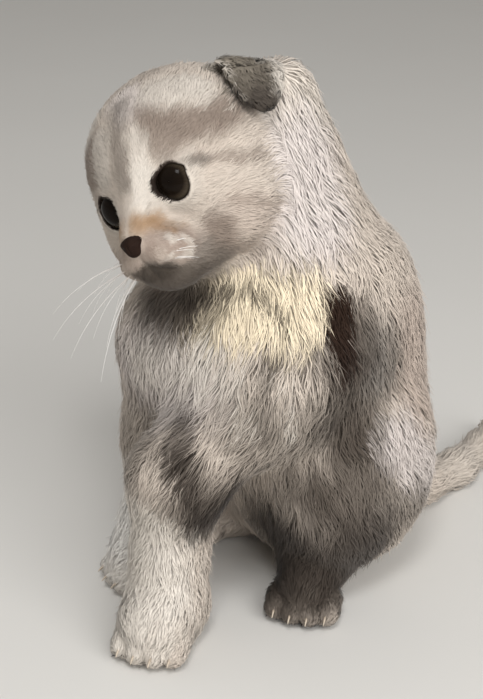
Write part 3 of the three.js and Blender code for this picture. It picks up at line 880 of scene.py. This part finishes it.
HEAD_MARKS_AND_SHADE = [
    (TAUPE, "face", [(8, 16, 40), (9, 40, 42), (8, 60, 30)], 4.5, 1.6, 0.5),
    (LILAC, "head", [(7, 5, 29), (3, 10, 34)], 7, 1.2, 0.7),
    (TAUPE, "face", [(14, 5, 22), (22, 5.5, 15), (28, 14, 14), (32, 24, 14.5)], 6.6, 1.4, 0.95),
    (TAUPE, "face", [(13, 0, 16), (17, 0.5, 10.5)], 4.6, 1.3, 0.75),
    (MILK, "face", [(17, 12, 30), (25, 19, 26)], 8.0, 1.0, 0.9),
    (MILK, "head", [(-7, 0, 22), (-10, -3, 12)], 5.5, 0.9, 0.8),
    (GREY, "head", [(2, 6, 31), (1.5, -5.8, 14), (1.2, -8.5, 6)], 4.0, 1.4, 0.65),
    (WHITE, "head", [(8.6, -1.5, 19), (8.2, -6.2, 5)], 3.6, 1.5, 0.6),
    (WHITE, "head", [(8.2, -6.2, 7), (5.0, -10.6, -4)], 4.4, 1.2, 0.8),
    (TAUPE, "face", [(21.0, 4.4, 3.4), (28, 11, 0.5), (33, 18, -2.5), (35, 28, -3)], 2.2, 1.6, 0.65),
    (TAUPE, "face", [(27, 8, -13.5), (31.6, 18.3, -18), (30.3, 31, -22)], 2.2, 1.4, 0.5),
    (PINK, "face", [(25, 12, -19), (28, 20, -24)], 8, 1.2, 0.3),
    (TAUPE, "face", [(19.5, 4.8, -21.0), (18.5, 6, -25.5)], 6.4, 1.2, 0.95),
    (TAUPE, "face", [(10.7, 3.8, -31), (17.4, 13.8, -31), (26, 25, -36)], 5.0, 1.2, 0.8),
    (ROSE, "face", [(5, -11, -17), (11.5, -6, -20)], 6.2, 1.0, 0.85),
    (GREY, "face", [(13, 0, -26), (12, 9, -31)], 6.0, 1.0, 0.75),
    # Grey chin fur, darkened by painted shade under the chin, the jaw and the muzzle.
    (SMOKE, "head", [(0, 3, -34)], (12, 15, 8.5), 0.9, 0.7),
    (SMOKE, "head", [(0, -8, -31.2)], (14, 14, 7.6), 0.5, 0.85),
    (SMOKE, "head", [(-4, -13, -25), (4, -12, -26)], 4.6, 1.1, 0.95),
    (WHITE, "face", [(10.5, -10, -17), (14, -4.5, -20.5)], 1.6, 1.2, 0.6),
    (WHITE, "face", [(8.0, -12, -21), (13, -5.5, -23.5)], 1.4, 1.2, 0.6),
    (TAN, "face", [(4.2, -13.5, -8), (8.5, -9.0, -9.5)], 3.8, 1.7, 0.9),
    (TAN, "face", [(8.5, -9.0, -9.5), (14, -3.5, -12.5)], 3.0, 1.7, 0.55),
    (TAN, "face", [(5, -12.5, -12.5), (11, -8, -14.5)], 1.3, 1.6, 0.5),
]
EYE_LINES = [
    (GREY, [(18.0, 1.6, 3.8), (21.6, 4.0, 3.2), (25.0, 7.0, 2.2)], 1.6, 1.6, 0.7),
    (TAUPE, [(7.6, -8.2, -3.4), (7.0, -9.8, -6.0)], 1.1, 1.2, 0.7),
]
EAR_EDGES = [
    (MILK, [(25, 32, 33), (33, 26, 27), (34, 22.5, 16)], 2.4, 1.2, 0.8),
    (WHITE, [(34, 46, 29), (42.1, 44.5, 22.5), (43.5, 38, 13)], 3.6, 1.2, 0.85),
]


def closeness(points, middle, radius):
    """How near points are to a centre or to a line of points, in radii."""
    middle = np.array(middle, float)
    if len(middle) == 1:
        return np.linalg.norm((points - middle[0]) / radius, axis=-1)
    fields = [taper(start, end, (0, 0)) for start, end in zip(middle, middle[1:])]
    return np.min([field(*points.T) for field in fields], axis=0) / radius


def blend_in(tint, colour, share):
    """The tint, moved towards a colour by each point's share."""
    return tint + (np.array(colour) - tint) * share[:, None]


def lay(tint, colour, points, middle, radius, soft, strength, limit=1.0):
    """Lays a colour over the tint inside a soft outline."""
    share = strength * smooth(1 + soft / 2 - closeness(points, middle, radius), 0, soft) * limit
    return blend_in(tint, colour, share)


def lay_rows(tint, rows, points, limit=1.0):
    """Lays rows of marks and painted shade over the tint one after another."""
    for colour, middle, radius, soft, strength in rows:
        tint = lay(tint, colour, points, middle, radius, soft, strength, limit)
    return tint


def opening_distance(local):
    """How far a point is outside the edge of the nearer eye's opening, in front of it."""
    forward, along, across = eye_axes(*local.T)
    return np.where(forward > 0, eye_outline(along, across), FAR)


def marks_and_shade(points):
    """The coat's colour, with the shade painted into it, at points in the kitten's millimetres, each row laid
    over the last.
    """
    local = to_head(points)
    side = mirrored(local)
    off_head = head_field(*local.T)
    streaky = points * (1.0, 1.0, 0.3)
    waved = points + wander(streaky, 13.0) * 1.2 + wander(streaky, 5.0) * 0.6
    tint = np.tile(np.array(PALE), (len(points), 1))
    body_share = smooth(off_head, 0.5, 4.0)
    tint = lay_rows(tint, BODY_MARKS_AND_SHADE, waved, body_share)
    head_share = 1 - smooth(off_head, 3.0, 10.0)
    waves = wander(local, 9.0) * 0.7 + wander(local, 3.5) * 0.35
    for colour, axes, middle, radius, soft, strength in HEAD_MARKS_AND_SHADE:
        place = (side if axes == "face" else local) + waves
        tint = lay(tint, colour, place, middle, radius, soft, strength, head_share)
    rim = opening_distance(local)
    lid = eye_axes(*local.T)[2]
    below = 1 - 0.7 * smooth(lid, 1.0, 6.0)
    ring = 0.65 * (1 - smooth(rim, 1.5, 6.0)) * smooth(side[:, 0], 2, 7) * below
    tint = blend_in(tint, MILK, ring)
    tint = lay_rows(tint, EYE_LINES, side + waves * 0.3)
    ear = 1 - smooth(ear_leaf(*side.T), 1.6, 3.0)
    # Darker towards the ear's lower edge: grey fur and painted shade under the folded flap.
    low_and_shaded = smooth(25 - side[:, 2] + waves[:, 0] * 2, 0, 13)[:, None]
    ear_tint = np.array(EAR_TOP) * (1 - low_and_shaded) + np.array(EAR_LOW_AND_SHADE) * low_and_shaded
    tint = blend_in(tint, ear_tint, ear)
    tint = lay_rows(tint, EAR_EDGES, side + waves)
    lips = np.min([groove(*side.T) for groove in MOUTH_LINE], axis=0)
    lid_edge = 1 - smooth(rim - 0.7 * smooth(lid, 2.0, 5.0), 0.1, 0.6)
    bare = np.maximum(lid_edge, 0.25 * (1 - smooth(lips, 0.0, 0.9)))
    return blend_in(tint, BARE, bare)


def scatter(corners):
    """Three chances for each lattice corner: what is left of a large sine past whole numbers."""
    turns = np.array([[127.1, 269.5, 113.5], [311.7, 183.3, 271.9], [74.7, 246.1, 124.6]])
    return np.mod(np.sin(corners @ turns) * 43758.5, 1.0)


def locks(points, size):
    """The nearest of many centres, one set at random in each cube of a lattice, and its chance."""
    cell = np.floor(points / size)
    nearest = np.full(len(points), FAR)
    centre = np.zeros_like(points)
    chance = np.zeros(len(points))
    for shift in np.ndindex(3, 3, 3):
        corner = cell + np.array(shift) - 1
        draw = scatter(corner)
        place = (corner + 0.1 + 0.8 * draw) * size
        distance = np.linalg.norm(points - place, axis=1)
        nearer = distance < nearest
        nearest[nearer], centre[nearer] = distance[nearer], place[nearer]
        chance[nearer] = np.mod(draw[nearer].sum(1) * 7.3, 1.0)
    return centre, chance


def all_locks(points, length):
    """Each point's lock. Locks are wider where the coat is longer."""
    size = np.array(LOCK_SIZES)[np.searchsorted(LOCK_LENGTHS, length, side="right")]
    centre, chance = np.zeros_like(points), np.zeros(len(points))
    for one in np.unique(size):
        same = size == one
        centre[same], chance[same] = locks(points[same], one)
    return centre, chance


def coat_at(points):
    """Length, width, height and lie of the fur, mixed between the shapes that a point is nearest to."""
    local = to_head(points)
    head_size = np.stack([np.interp(local[:, 1], HEAD_COAT_Y, row) for row in HEAD_COAT.values()], -1)
    ruffled = smooth(np.abs(local[:, 0]), 18, 30) * smooth(-local[:, 2], -2, 14)
    head_size[:, 0] += CHEEK_EXTRA * ruffled
    from_nose = unit(local - (0, -19, -9)) @ HEAD_TURN.T
    behind = smooth(local[:, 1], 30, 66)[:, None]
    head_lie = from_nose * (1 - behind) + np.array([0, 0.3, -1]) * behind
    rows = [
        (lump.field(*points.T), BODY_BLEND, np.array(COAT[lump.coat]), unit(np.asarray(lump.lie, float)))
        for lump in LUMPS
    ]
    rows.append((head_field(*local.T), HEAD_BLEND, head_size, head_lie))
    nearest = np.min([distance for distance, *_ in rows], axis=0)
    size, lie, total = np.zeros((len(points), 3)), np.zeros((len(points), 3)), np.zeros((len(points), 1))
    for distance, blend, own_size, own_lie in rows:
        weight = np.exp(np.maximum(-(distance - nearest) / blend, -40))[:, None]
        size += weight * own_size
        lie += weight * own_lie
        total += weight
    size /= total
    side = mirrored(local)
    on_ear = (1 - smooth(ear_leaf(*side.T), 0.4, 2.0))[:, None]
    size = size * (1 - on_ear) + EAR_COAT * on_ear
    past_tip = EAR_PATH[2] + (2, 0, -8)
    towards = unit(past_tip - side)
    towards[:, 0] *= np.where(local[:, 0] < 0, -1, 1)
    lie = lie * (1 - on_ear) + (towards @ HEAD_TURN.T) * on_ear
    return size, unit(lie), local


# The skin.
grid = fill_grid()
skin_field = Field(grid)
skin_points, skin_quads = surface_net(AXES, grid)


def exact_skin(x, y, z):
    """The skin's field worked out from its shapes at loose points."""
    value = np.full(x.shape, FAR)
    points = np.stack([x, y, z], -1)
    for low, high, field, width in shapes():
        near = ((points > low - REACH) & (points < high + REACH)).all(-1)
        value[near] = join(value[near], field(*points[near].T), width)
    return np.maximum(value, SOLE_HEIGHT - z)


skin_points = settle(skin_points, exact_skin)
skin = new_piece(
    "coat_ground", skin_points, skin_quads, skin_material, "pale_coat", tint=marks_and_shade(skin_points)
)


UNWRAP_ANGLE, UNWRAP_GAP = 1.15, 0.002


def unwrap(piece):
    """Lays the skin's own faces out flat, by the way that they face, into the map that tufts share."""
    piece.data.uv_layers.new(name="OFBake")
    bpy.ops.object.select_all(action="DESELECT")
    piece.select_set(True)
    bpy.context.view_layer.objects.active = piece
    bpy.ops.object.mode_set(mode="EDIT")
    bpy.ops.mesh.select_all(action="SELECT")
    bpy.ops.uv.smart_project(angle_limit=UNWRAP_ANGLE, island_margin=UNWRAP_GAP)
    bpy.ops.object.mode_set(mode="OBJECT")
    flat = np.empty(len(piece.data.loops) * 2, np.float32)
    piece.data.uv_layers["OFBake"].data.foreach_get("uv", flat)
    return flat.reshape(-1, 4, 2)


skin_uv = unwrap(skin)


# The coat.
def plant():
    """Roots spread over the skin's triangles at random, as many to an area as their size needs."""
    triangles = np.concatenate([skin_quads[:, [0, 1, 2]], skin_quads[:, [0, 2, 3]]])
    uvs = np.concatenate([skin_uv[:, [0, 1, 2]], skin_uv[:, [0, 2, 3]]])
    corners = skin_points[triangles]
    one_edge, other_edge = corners[:, 1] - corners[:, 0], corners[:, 2] - corners[:, 0]
    areas = np.linalg.norm(np.cross(one_edge, other_edge), axis=1) / 2
    centres = corners.mean(1)
    size, _, local = coat_at(centres)
    bare = opening_distance(local) < BARE_RIM
    bare |= np.linalg.norm((local - NOSE_AT) / NOSE_PATCH, axis=1) < 1
    bare |= centres[:, 2] < BARE_SOLE
    density = np.where(bare, 0, THICKNESS / (size[:, 0] * size[:, 1]) ** 0.9)
    count = np.floor(areas * density + rng.random(len(areas))).astype(int)
    owner = np.repeat(np.arange(len(areas)), count)
    first, second = rng.random(len(owner)), rng.random(len(owner))
    flip = first + second > 1
    first, second = np.where(flip, 1 - first, first), np.where(flip, 1 - second, second)
    shares = np.stack([1 - first - second, first, second], -1)[..., None]
    return (corners[owner] * shares).sum(1), (uvs[owner] * shares).sum(1)


def grow(roots, stops, profile, widths, gather):
    """Each tuft's middle line walks from its root along the lie of the fur, drawn to the middle of its
    lock, at a height over the skin that follows the profile. Its section is a flat three-sided one."""
    size, lie, _ = coat_at(roots)
    count = len(roots)
    centre, chance = all_locks(roots, size[:, 0])
    length = size[:, 0] * rng.uniform(*LENGTH_SPREAD, count)
    height = size[:, 2] * rng.uniform(*HEIGHT_SPREAD, count) * (0.8 + 0.4 * chance)
    width = size[:, 1] * rng.uniform(*WIDTH_SPREAD, count)
    swerve = rng.normal(0, OWN_SWERVE, count) + LOCK_SWERVE * (chance - 0.5)
    swerve = swerve + WAVE_SWERVE * wander(roots, 19.0)[:, 0]
    lean = rng.normal(0, LEAN, count)
    lift = np.where(rng.random(count) < LIFTED_SHARE, LIFT, 1.0)
    pull = centre - roots
    normal = skin_field.slope(roots)
    lines, ups, sides = [roots - normal * ROOT_DEPTH], [normal], []
    for i in range(1, len(stops)):
        here = lines[-1]
        normal = ups[-1]
        if i > 1:
            lie = coat_at(here)[1]
        tangent = unit(lie - normal * (lie * normal).sum(-1, keepdims=True))
        side = np.cross(normal, tangent)
        tangent = unit(tangent + side * (swerve * (0.5 + stops[i]))[:, None])
        if i == 1:
            sides.append(np.cross(normal, tangent))
        drawn = (pull * side).sum(-1) * gather * (stops[i] ** 1.5 - stops[i - 1] ** 1.5)
        ahead = here + tangent * (length * (stops[i] - stops[i - 1]))[:, None] + side * drawn[:, None]
        slope = skin_field.slope(ahead)
        raised = height * profile[i] * (lift if i == len(stops) - 1 else 1.0)
        ahead = ahead + slope * (raised - skin_field.at(ahead))[:, None]
        ahead[:, 2] = np.maximum(ahead[:, 2], SOLE_HEIGHT)
        lines.append(ahead)
        ups.append(slope)
        sides.append(np.cross(slope, tangent))
    rings, shading = [], []
    for i in range(len(stops) - 1):
        side = unit(sides[i] + ups[i] * lean[:, None])
        up = unit(np.cross(lines[i + 1] - lines[i], side))
        half = (width * widths[i] / 2)[:, None]
        rings += [lines[i] - side * half, lines[i] + up * half * RIDGE, lines[i] + side * half]
        soft_up = ups[i] * SKIN_SHADING + up
        shading += [unit(soft_up - side), unit(soft_up), unit(soft_up + side)]
    along = unit(lines[-1] - lines[-2])
    return np.stack([*rings, lines[-1]], 1), np.stack([*shading, unit(ups[-1] + along * 0.3)], 1), chance


def tuft_faces(ring_count):
    """A three-sided tapering tube closed at its root and its tip."""
    faces = [(0, 1, 2)]
    for ring in range(ring_count - 1):
        for k in range(3):
            a, b = ring * 3 + k, ring * 3 + (k + 1) % 3
            faces += [(b, a, b + 3), (b + 3, a, a + 3)]
    last, tip = (ring_count - 1) * 3, ring_count * 3
    faces += [(last + (k + 1) % 3, last + k, tip) for k in range(3)]
    return np.array(faces)


# How thickly the tufts stand, and the size of the patch of the map that one takes.
THICKNESS = 4.9
PATCH = 0.003
LONG = dict(stops=(0, 0.42, 1.0), profile=(0, 0.85, 0.85), widths=(0.9, 0.9), gather=0.8)
SHORT = dict(stops=(0, 0.45, 1.0), profile=(0, 0.85, 0.95), widths=(0.8, 0.9), gather=0.5)


def coat_piece(name, roots, root_uv, size):
    """Grows the tufts of one part of the kitten and joins them."""
    rows, start = [], 0
    short = size[:, 0] < SHORT_COAT
    for kind, style in ((short, SHORT), (~short, LONG)):
        if not kind.any():
            continue
        tufts, shading, lock = grow(roots[kind], **style)
        count, per = tufts.shape[:2]
        pattern = tuft_faces(len(style["stops"]) - 1)
        tufts[..., 2] = np.maximum(tufts[..., 2], TUFT_FLOOR)
        corner = np.arange(per)
        patch = np.stack([(corner % 3) / 2 * PATCH, corner / per * PATCH], -1) - PATCH / 2
        stray = rng.normal(0, 1, (count, 3)) * (STRAY + STRAY_BY_LENGTH * size[kind][:, :1])
        middle = tufts[:, 4] * 0.6 + tufts[:, -1] * 0.4
        along = np.tile(np.array(style["stops"])[corner // 3], count)
        rows.append((
            tufts.reshape(-1, 3),
            (pattern[None] + np.arange(count)[:, None, None] * per + start).reshape(-1, 3),
            (root_uv[kind][:, None] + patch[None]).reshape(-1, 2),
            shading.reshape(-1, 3),
            np.repeat(marks_and_shade(middle + stray), per, 0),
            np.column_stack([along, np.repeat(rng.random(count), per), np.repeat(lock, per)]),
        ))
        start += count * per
    points, faces, uv, shading, tint, strand = (np.concatenate(part) for part in zip(*rows))
    new_piece(
        name, points, faces, coat_material, "pale_coat", uv=uv, shading=shading, tint=tint, strand=strand
    )


def coat_pieces():
    """One piece of coat for each part of the kitten, so that none is too large."""
    roots, root_uv = plant()
    size, _, local = coat_at(roots)
    on_head = head_field(*local.T) < 2.5
    x, y, z = roots.T
    low = ~on_head & (size[:, 0] < SHORT_COAT)
    regions = {
        "coat_face_left": on_head & (local[:, 1] < 12) & (local[:, 0] > 0),
        "coat_face_right": on_head & (local[:, 1] < 12),
        "coat_crown_left": on_head & (local[:, 0] > 0),
        "coat_crown_right": on_head,
        "coat_forepaw_left": low & (x > -4) & (y < -3),
        "coat_forepaw_right": low & (y < -3),
        "coat_hindpaws": low,
        "coat_tail": (y > 88) & (z < 34),
        "coat_neck": z > 126,
        "coat_chest": y < 4,
        "coat_left": x > 24,
        "coat_back": y > 52,
        "coat_right": x < 4,
        "coat_belly": np.ones(len(roots), bool),
    }
    free = np.ones(len(roots), bool)
    for name, inside in regions.items():
        chosen = free & inside
        free &= ~inside
        coat_piece(name, roots[chosen], root_uv[chosen], size[chosen])


coat_pieces()


# Eyes, nose, claws and whiskers.
def grid_faces(rows, columns):
    """Quads over rows and columns of points, joined round the columns."""
    row, column = np.meshgrid(np.arange(rows - 1), np.arange(columns), indexing="ij")
    here, beside = row * columns + column, row * columns + (column + 1) % columns
    return np.stack([here, beside, beside + columns, here + columns], -1).reshape(-1, 4)


def eyeball(side):
    """Rings about the line of sight: a ball whose radius swells by the cornea's height towards the front,
    closed by small rings at both poles."""
    tilt = np.linspace(0.004, np.pi - 0.02, EYE_RINGS)[:, None]
    turn = np.linspace(0, 2 * np.pi, EYE_SPOKES, endpoint=False)[None, :]
    radius = EYE_RADIUS - 0.05 + CORNEA * (1 - smooth(tilt, *CORNEA_EDGE))
    sight = unit(np.array([side * np.sin(EYE_OUTWARD), -np.cos(EYE_OUTWARD), 0.02]))
    across = unit(np.cross(sight, (0, 0, 1)))
    upward = np.cross(across, sight)
    local = EYE_AT * (side, 1, 1) + (
        sight * (radius * np.cos(tilt) * np.ones_like(turn))[..., None]
        + across * (radius * np.sin(tilt) * np.cos(turn))[..., None]
        + upward * (radius * np.sin(tilt) * np.sin(turn))[..., None]
    )
    reach = radius * np.sin(tilt) * np.ones_like(turn)
    reach = np.where(tilt > np.pi / 2, 2 * EYE_RADIUS - reach, reach) / 10
    ring = np.stack(np.broadcast_arrays(reach, np.cos(turn), np.sin(turn)), -1).reshape(-1, 3)
    name = "eye_left" if side > 0 else "eye_right"
    points, faces = from_head(local.reshape(-1, 3)), grid_faces(EYE_RINGS, EYE_SPOKES)
    piece = new_piece(f"{name}_ball", points, faces, eye_material, "eye", ring=ring)
    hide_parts(name)


def nose_field(x, y, z):
    """A broad top melted with a narrow base, with a curled nostril on each side and a groove in front."""
    side = np.abs(x)
    value = melt(ellipsoid(*NOSE_TOP)(x, y, z), ellipsoid(*NOSE_BASE)(x, y, z), 2.2)
    value = carve(value, taper(*NOSTRIL)(side, y, z), 0.5)
    value = carve(value, taper(*NOSTRIL_CURL)(side, y, z), 0.4)
    return carve(value, taper(*NOSE_GROOVE)(x, y, z), 0.4)


def make_nose():
    """The nose's field on a fine grid of its own, made a surface and settled."""
    axes = [np.arange(low, high, NOSE_STEP) for low, high in NOSE_BOX]
    x, y, z = np.meshgrid(*axes, indexing="ij", sparse=True)
    points, quads = surface_net(axes, nose_field(x, y, z))
    points = settle(points, nose_field, rounds=2, step=0.1)
    piece = new_piece("nose_tip", from_head(points), quads, nose_material, "nose_skin")
    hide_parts("nose_leather")


def tubes(lines, radii, sides, flat=1.0):
    """Tubes carried along many lines of points at once: rings of a given radius, square to each line."""
    lines, radii = np.asarray(lines, float), np.asarray(radii, float)
    along = unit(np.gradient(lines, axis=1))
    across = unit(np.cross(along, (0.13, 0.21, 0.97)))
    upward = np.cross(across, along)
    turn = np.linspace(0, 2 * np.pi, sides, endpoint=False)
    ring = across[:, :, None] * (np.cos(turn) * flat)[:, None] + upward[:, :, None] * np.sin(turn)[:, None]
    points = lines[:, :, None] + ring * radii[:, :, None, None]
    count, rows = lines.shape[:2]
    faces = grid_faces(rows, sides)[None] + np.arange(count)[:, None, None] * rows * sides
    return points.reshape(-1, 3), faces.reshape(-1, 4)


def make_claws():
    """A hooked horn in the tip of each toe: it runs forward, then bends down, thinning to a point."""
    t = np.linspace(0, 1, 9)
    starts, ways, names = [], [], []
    for side, which in ((1, "left"), (-1, "right")):
        for kind, leg in (("fore", FORELEGS[side]), ("hind", HINDLEGS[side])):
            ahead, centres = toe_places(*leg[-2:])
            for i, at in enumerate(centres):
                starts.append(at + ahead * 2.6 + (0, 0, 0.9))
                ways.append(ahead)
                names.append(f"claw_{kind}_{which}_{i + 1}")
    lines = np.array(starts)[:, None] + np.array(ways)[:, None] * (CLAW_LENGTH * t[:, None])
    lines[..., 2] += 0.7 * t - 2.4 * t * t
    radii = np.tile(CLAW_RADIUS * (1 - t) ** 0.6 + 0.05, (len(lines), 1))
    points, faces = tubes(lines, radii, 8, 0.7)
    turn = np.linspace(0, 1, 8, endpoint=False)
    grain = np.stack(np.broadcast_arrays(t[:, None], np.cos(2 * np.pi * turn), 0.0), -1).reshape(-1, 3)
    grain = np.tile(grain, (len(lines), 1))
    piece = new_piece("claws", points, faces, claw_material, "claw_horn", grain=grain)
    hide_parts(*names)


# The side, its rows, the hairs in each, their share of a whisker's full length, and how far they lie back.
WHISKERS = ((1, 3, 2, 0.24, 0.75), (-1, 4, 4, 1.0, 0.0))


def make_whiskers():
    """Rows of hairs from the pads beside the nose, long on the right and short on the left: each runs
    along its way and sags by the square of the distance, thinning to its tip."""
    t = np.linspace(0, 1, 15)
    roots, ways, lengths = [], [], []
    for side, rows, columns, share, back in WHISKERS:
        for row in range(rows):
            for column in range(columns):
                root = (6.4 + 1.7 * column, -11.4 + 1.7 * column, -16.6 - 2.1 * row)
                way = (1.0, -0.12 + 0.16 * column + back, 0.10 - 0.17 * row)
                roots.append(np.multiply(root, (side, 1, 1)))
                ways.append(np.multiply(way, (side, 1, 1)))
                lengths.append((WHISKER_LENGTH - 5 * column + 3 * (row % 2)) * share)
    roots, ways = np.array(roots), unit(np.array(ways) + rng.normal(0, 0.05, (len(ways), 3)))
    lengths = np.array(lengths) * rng.uniform(0.85, 1.1, len(lengths))
    for _ in range(4):
        roots -= 0.7 * (head_field(*roots.T) + 0.5)[:, None] * unit(roots - (0, 16, -4))
    lines = roots[:, None] + ways[:, None] * (lengths[:, None] * t)[..., None]
    lines[..., 2] -= 0.22 * lengths[:, None] * t * t
    lines[..., 1] += 0.12 * lengths[:, None] * t * t
    radii = WHISKER_RADIUS * (1 - t) ** 0.8 + 0.03
    points, faces = tubes(from_head(lines), np.tile(radii, (len(lines), 1)), 5)
    along = np.tile(np.repeat(t, 5), len(lines))
    chance = np.repeat(rng.random(len(lines)), 5 * len(t))
    strand = np.column_stack([along, chance, np.zeros(len(points))])
    new_piece("whiskers", points, faces, whisker_material, "white_coat", strand=strand)


for eye_side in (1, -1):
    eyeball(eye_side)
make_nose()
make_claws()
make_whiskers()

# The skin and coat stand for every node of flesh.
FLESH = [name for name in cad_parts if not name.startswith(("claw", "eye", "nose"))]
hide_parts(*FLESH)


# Floor, light and camera.
CAMERA_AT = Vector((344.9, -353.5, 311.3)) * MM
CAMERA_TO = Vector((8.1, -50.3, 100.0)) * MM
SENSOR, LENS = 36.0, 70.56
FLOOR_SIZE = 6
SKY_COLOUR, SKY_STRENGTH = rgb(0.90, 0.88, 0.85), 0.42
# Each lamp's place and size in metres, and its power in watts.
LAMPS = (
    ("key", (0.43, -0.46, 1.02), 0.3, 4.6),
    ("side", (1.15, -0.25, 0.66), 1.1, 15.0),
    ("fill", (-0.8, -0.5, 0.5), 0.8, 0.8),
)


def aim(name, data, at):
    """Puts a lamp or a camera in its place, facing the point that the camera looks at."""
    holder = bpy.data.objects.new(name, data)
    holder.location = at
    holder.rotation_euler = (CAMERA_TO - Vector(at)).to_track_quat("-Z", "Y").to_euler()
    bpy.context.scene.collection.objects.link(holder)
    return holder


def stage():
    """A pale floor, a lamp over the viewer, a wide one to the right, a weak one to the left, and a sky."""
    bpy.ops.mesh.primitive_plane_add(size=FLOOR_SIZE)
    floor = bpy.context.object
    floor.name = "floor"
    floor.data.materials.append(new_material("pale_floor", build_floor, 0.8))
    world = bpy.data.worlds.new("studio")
    world.use_nodes = True
    background = world.node_tree.nodes["Background"]
    background.inputs["Color"].default_value = SKY_COLOUR
    background.inputs["Strength"].default_value = SKY_STRENGTH
    bpy.context.scene.world = world
    for name, at, size, power in LAMPS:
        light = bpy.data.lights.new(name, "AREA")
        light.size, light.energy = size, power
        aim(name, light, at).visible_glossy = name == "key"
    bpy.context.scene.view_settings.view_transform = "Standard"


def place_camera():
    """The photograph's view: its long side on the sensor's width."""
    camera = bpy.data.cameras.new("camera")
    camera.sensor_width, camera.lens = SENSOR, LENS
    bpy.context.scene.camera = aim("camera", camera, CAMERA_AT)


stage()
place_camera()
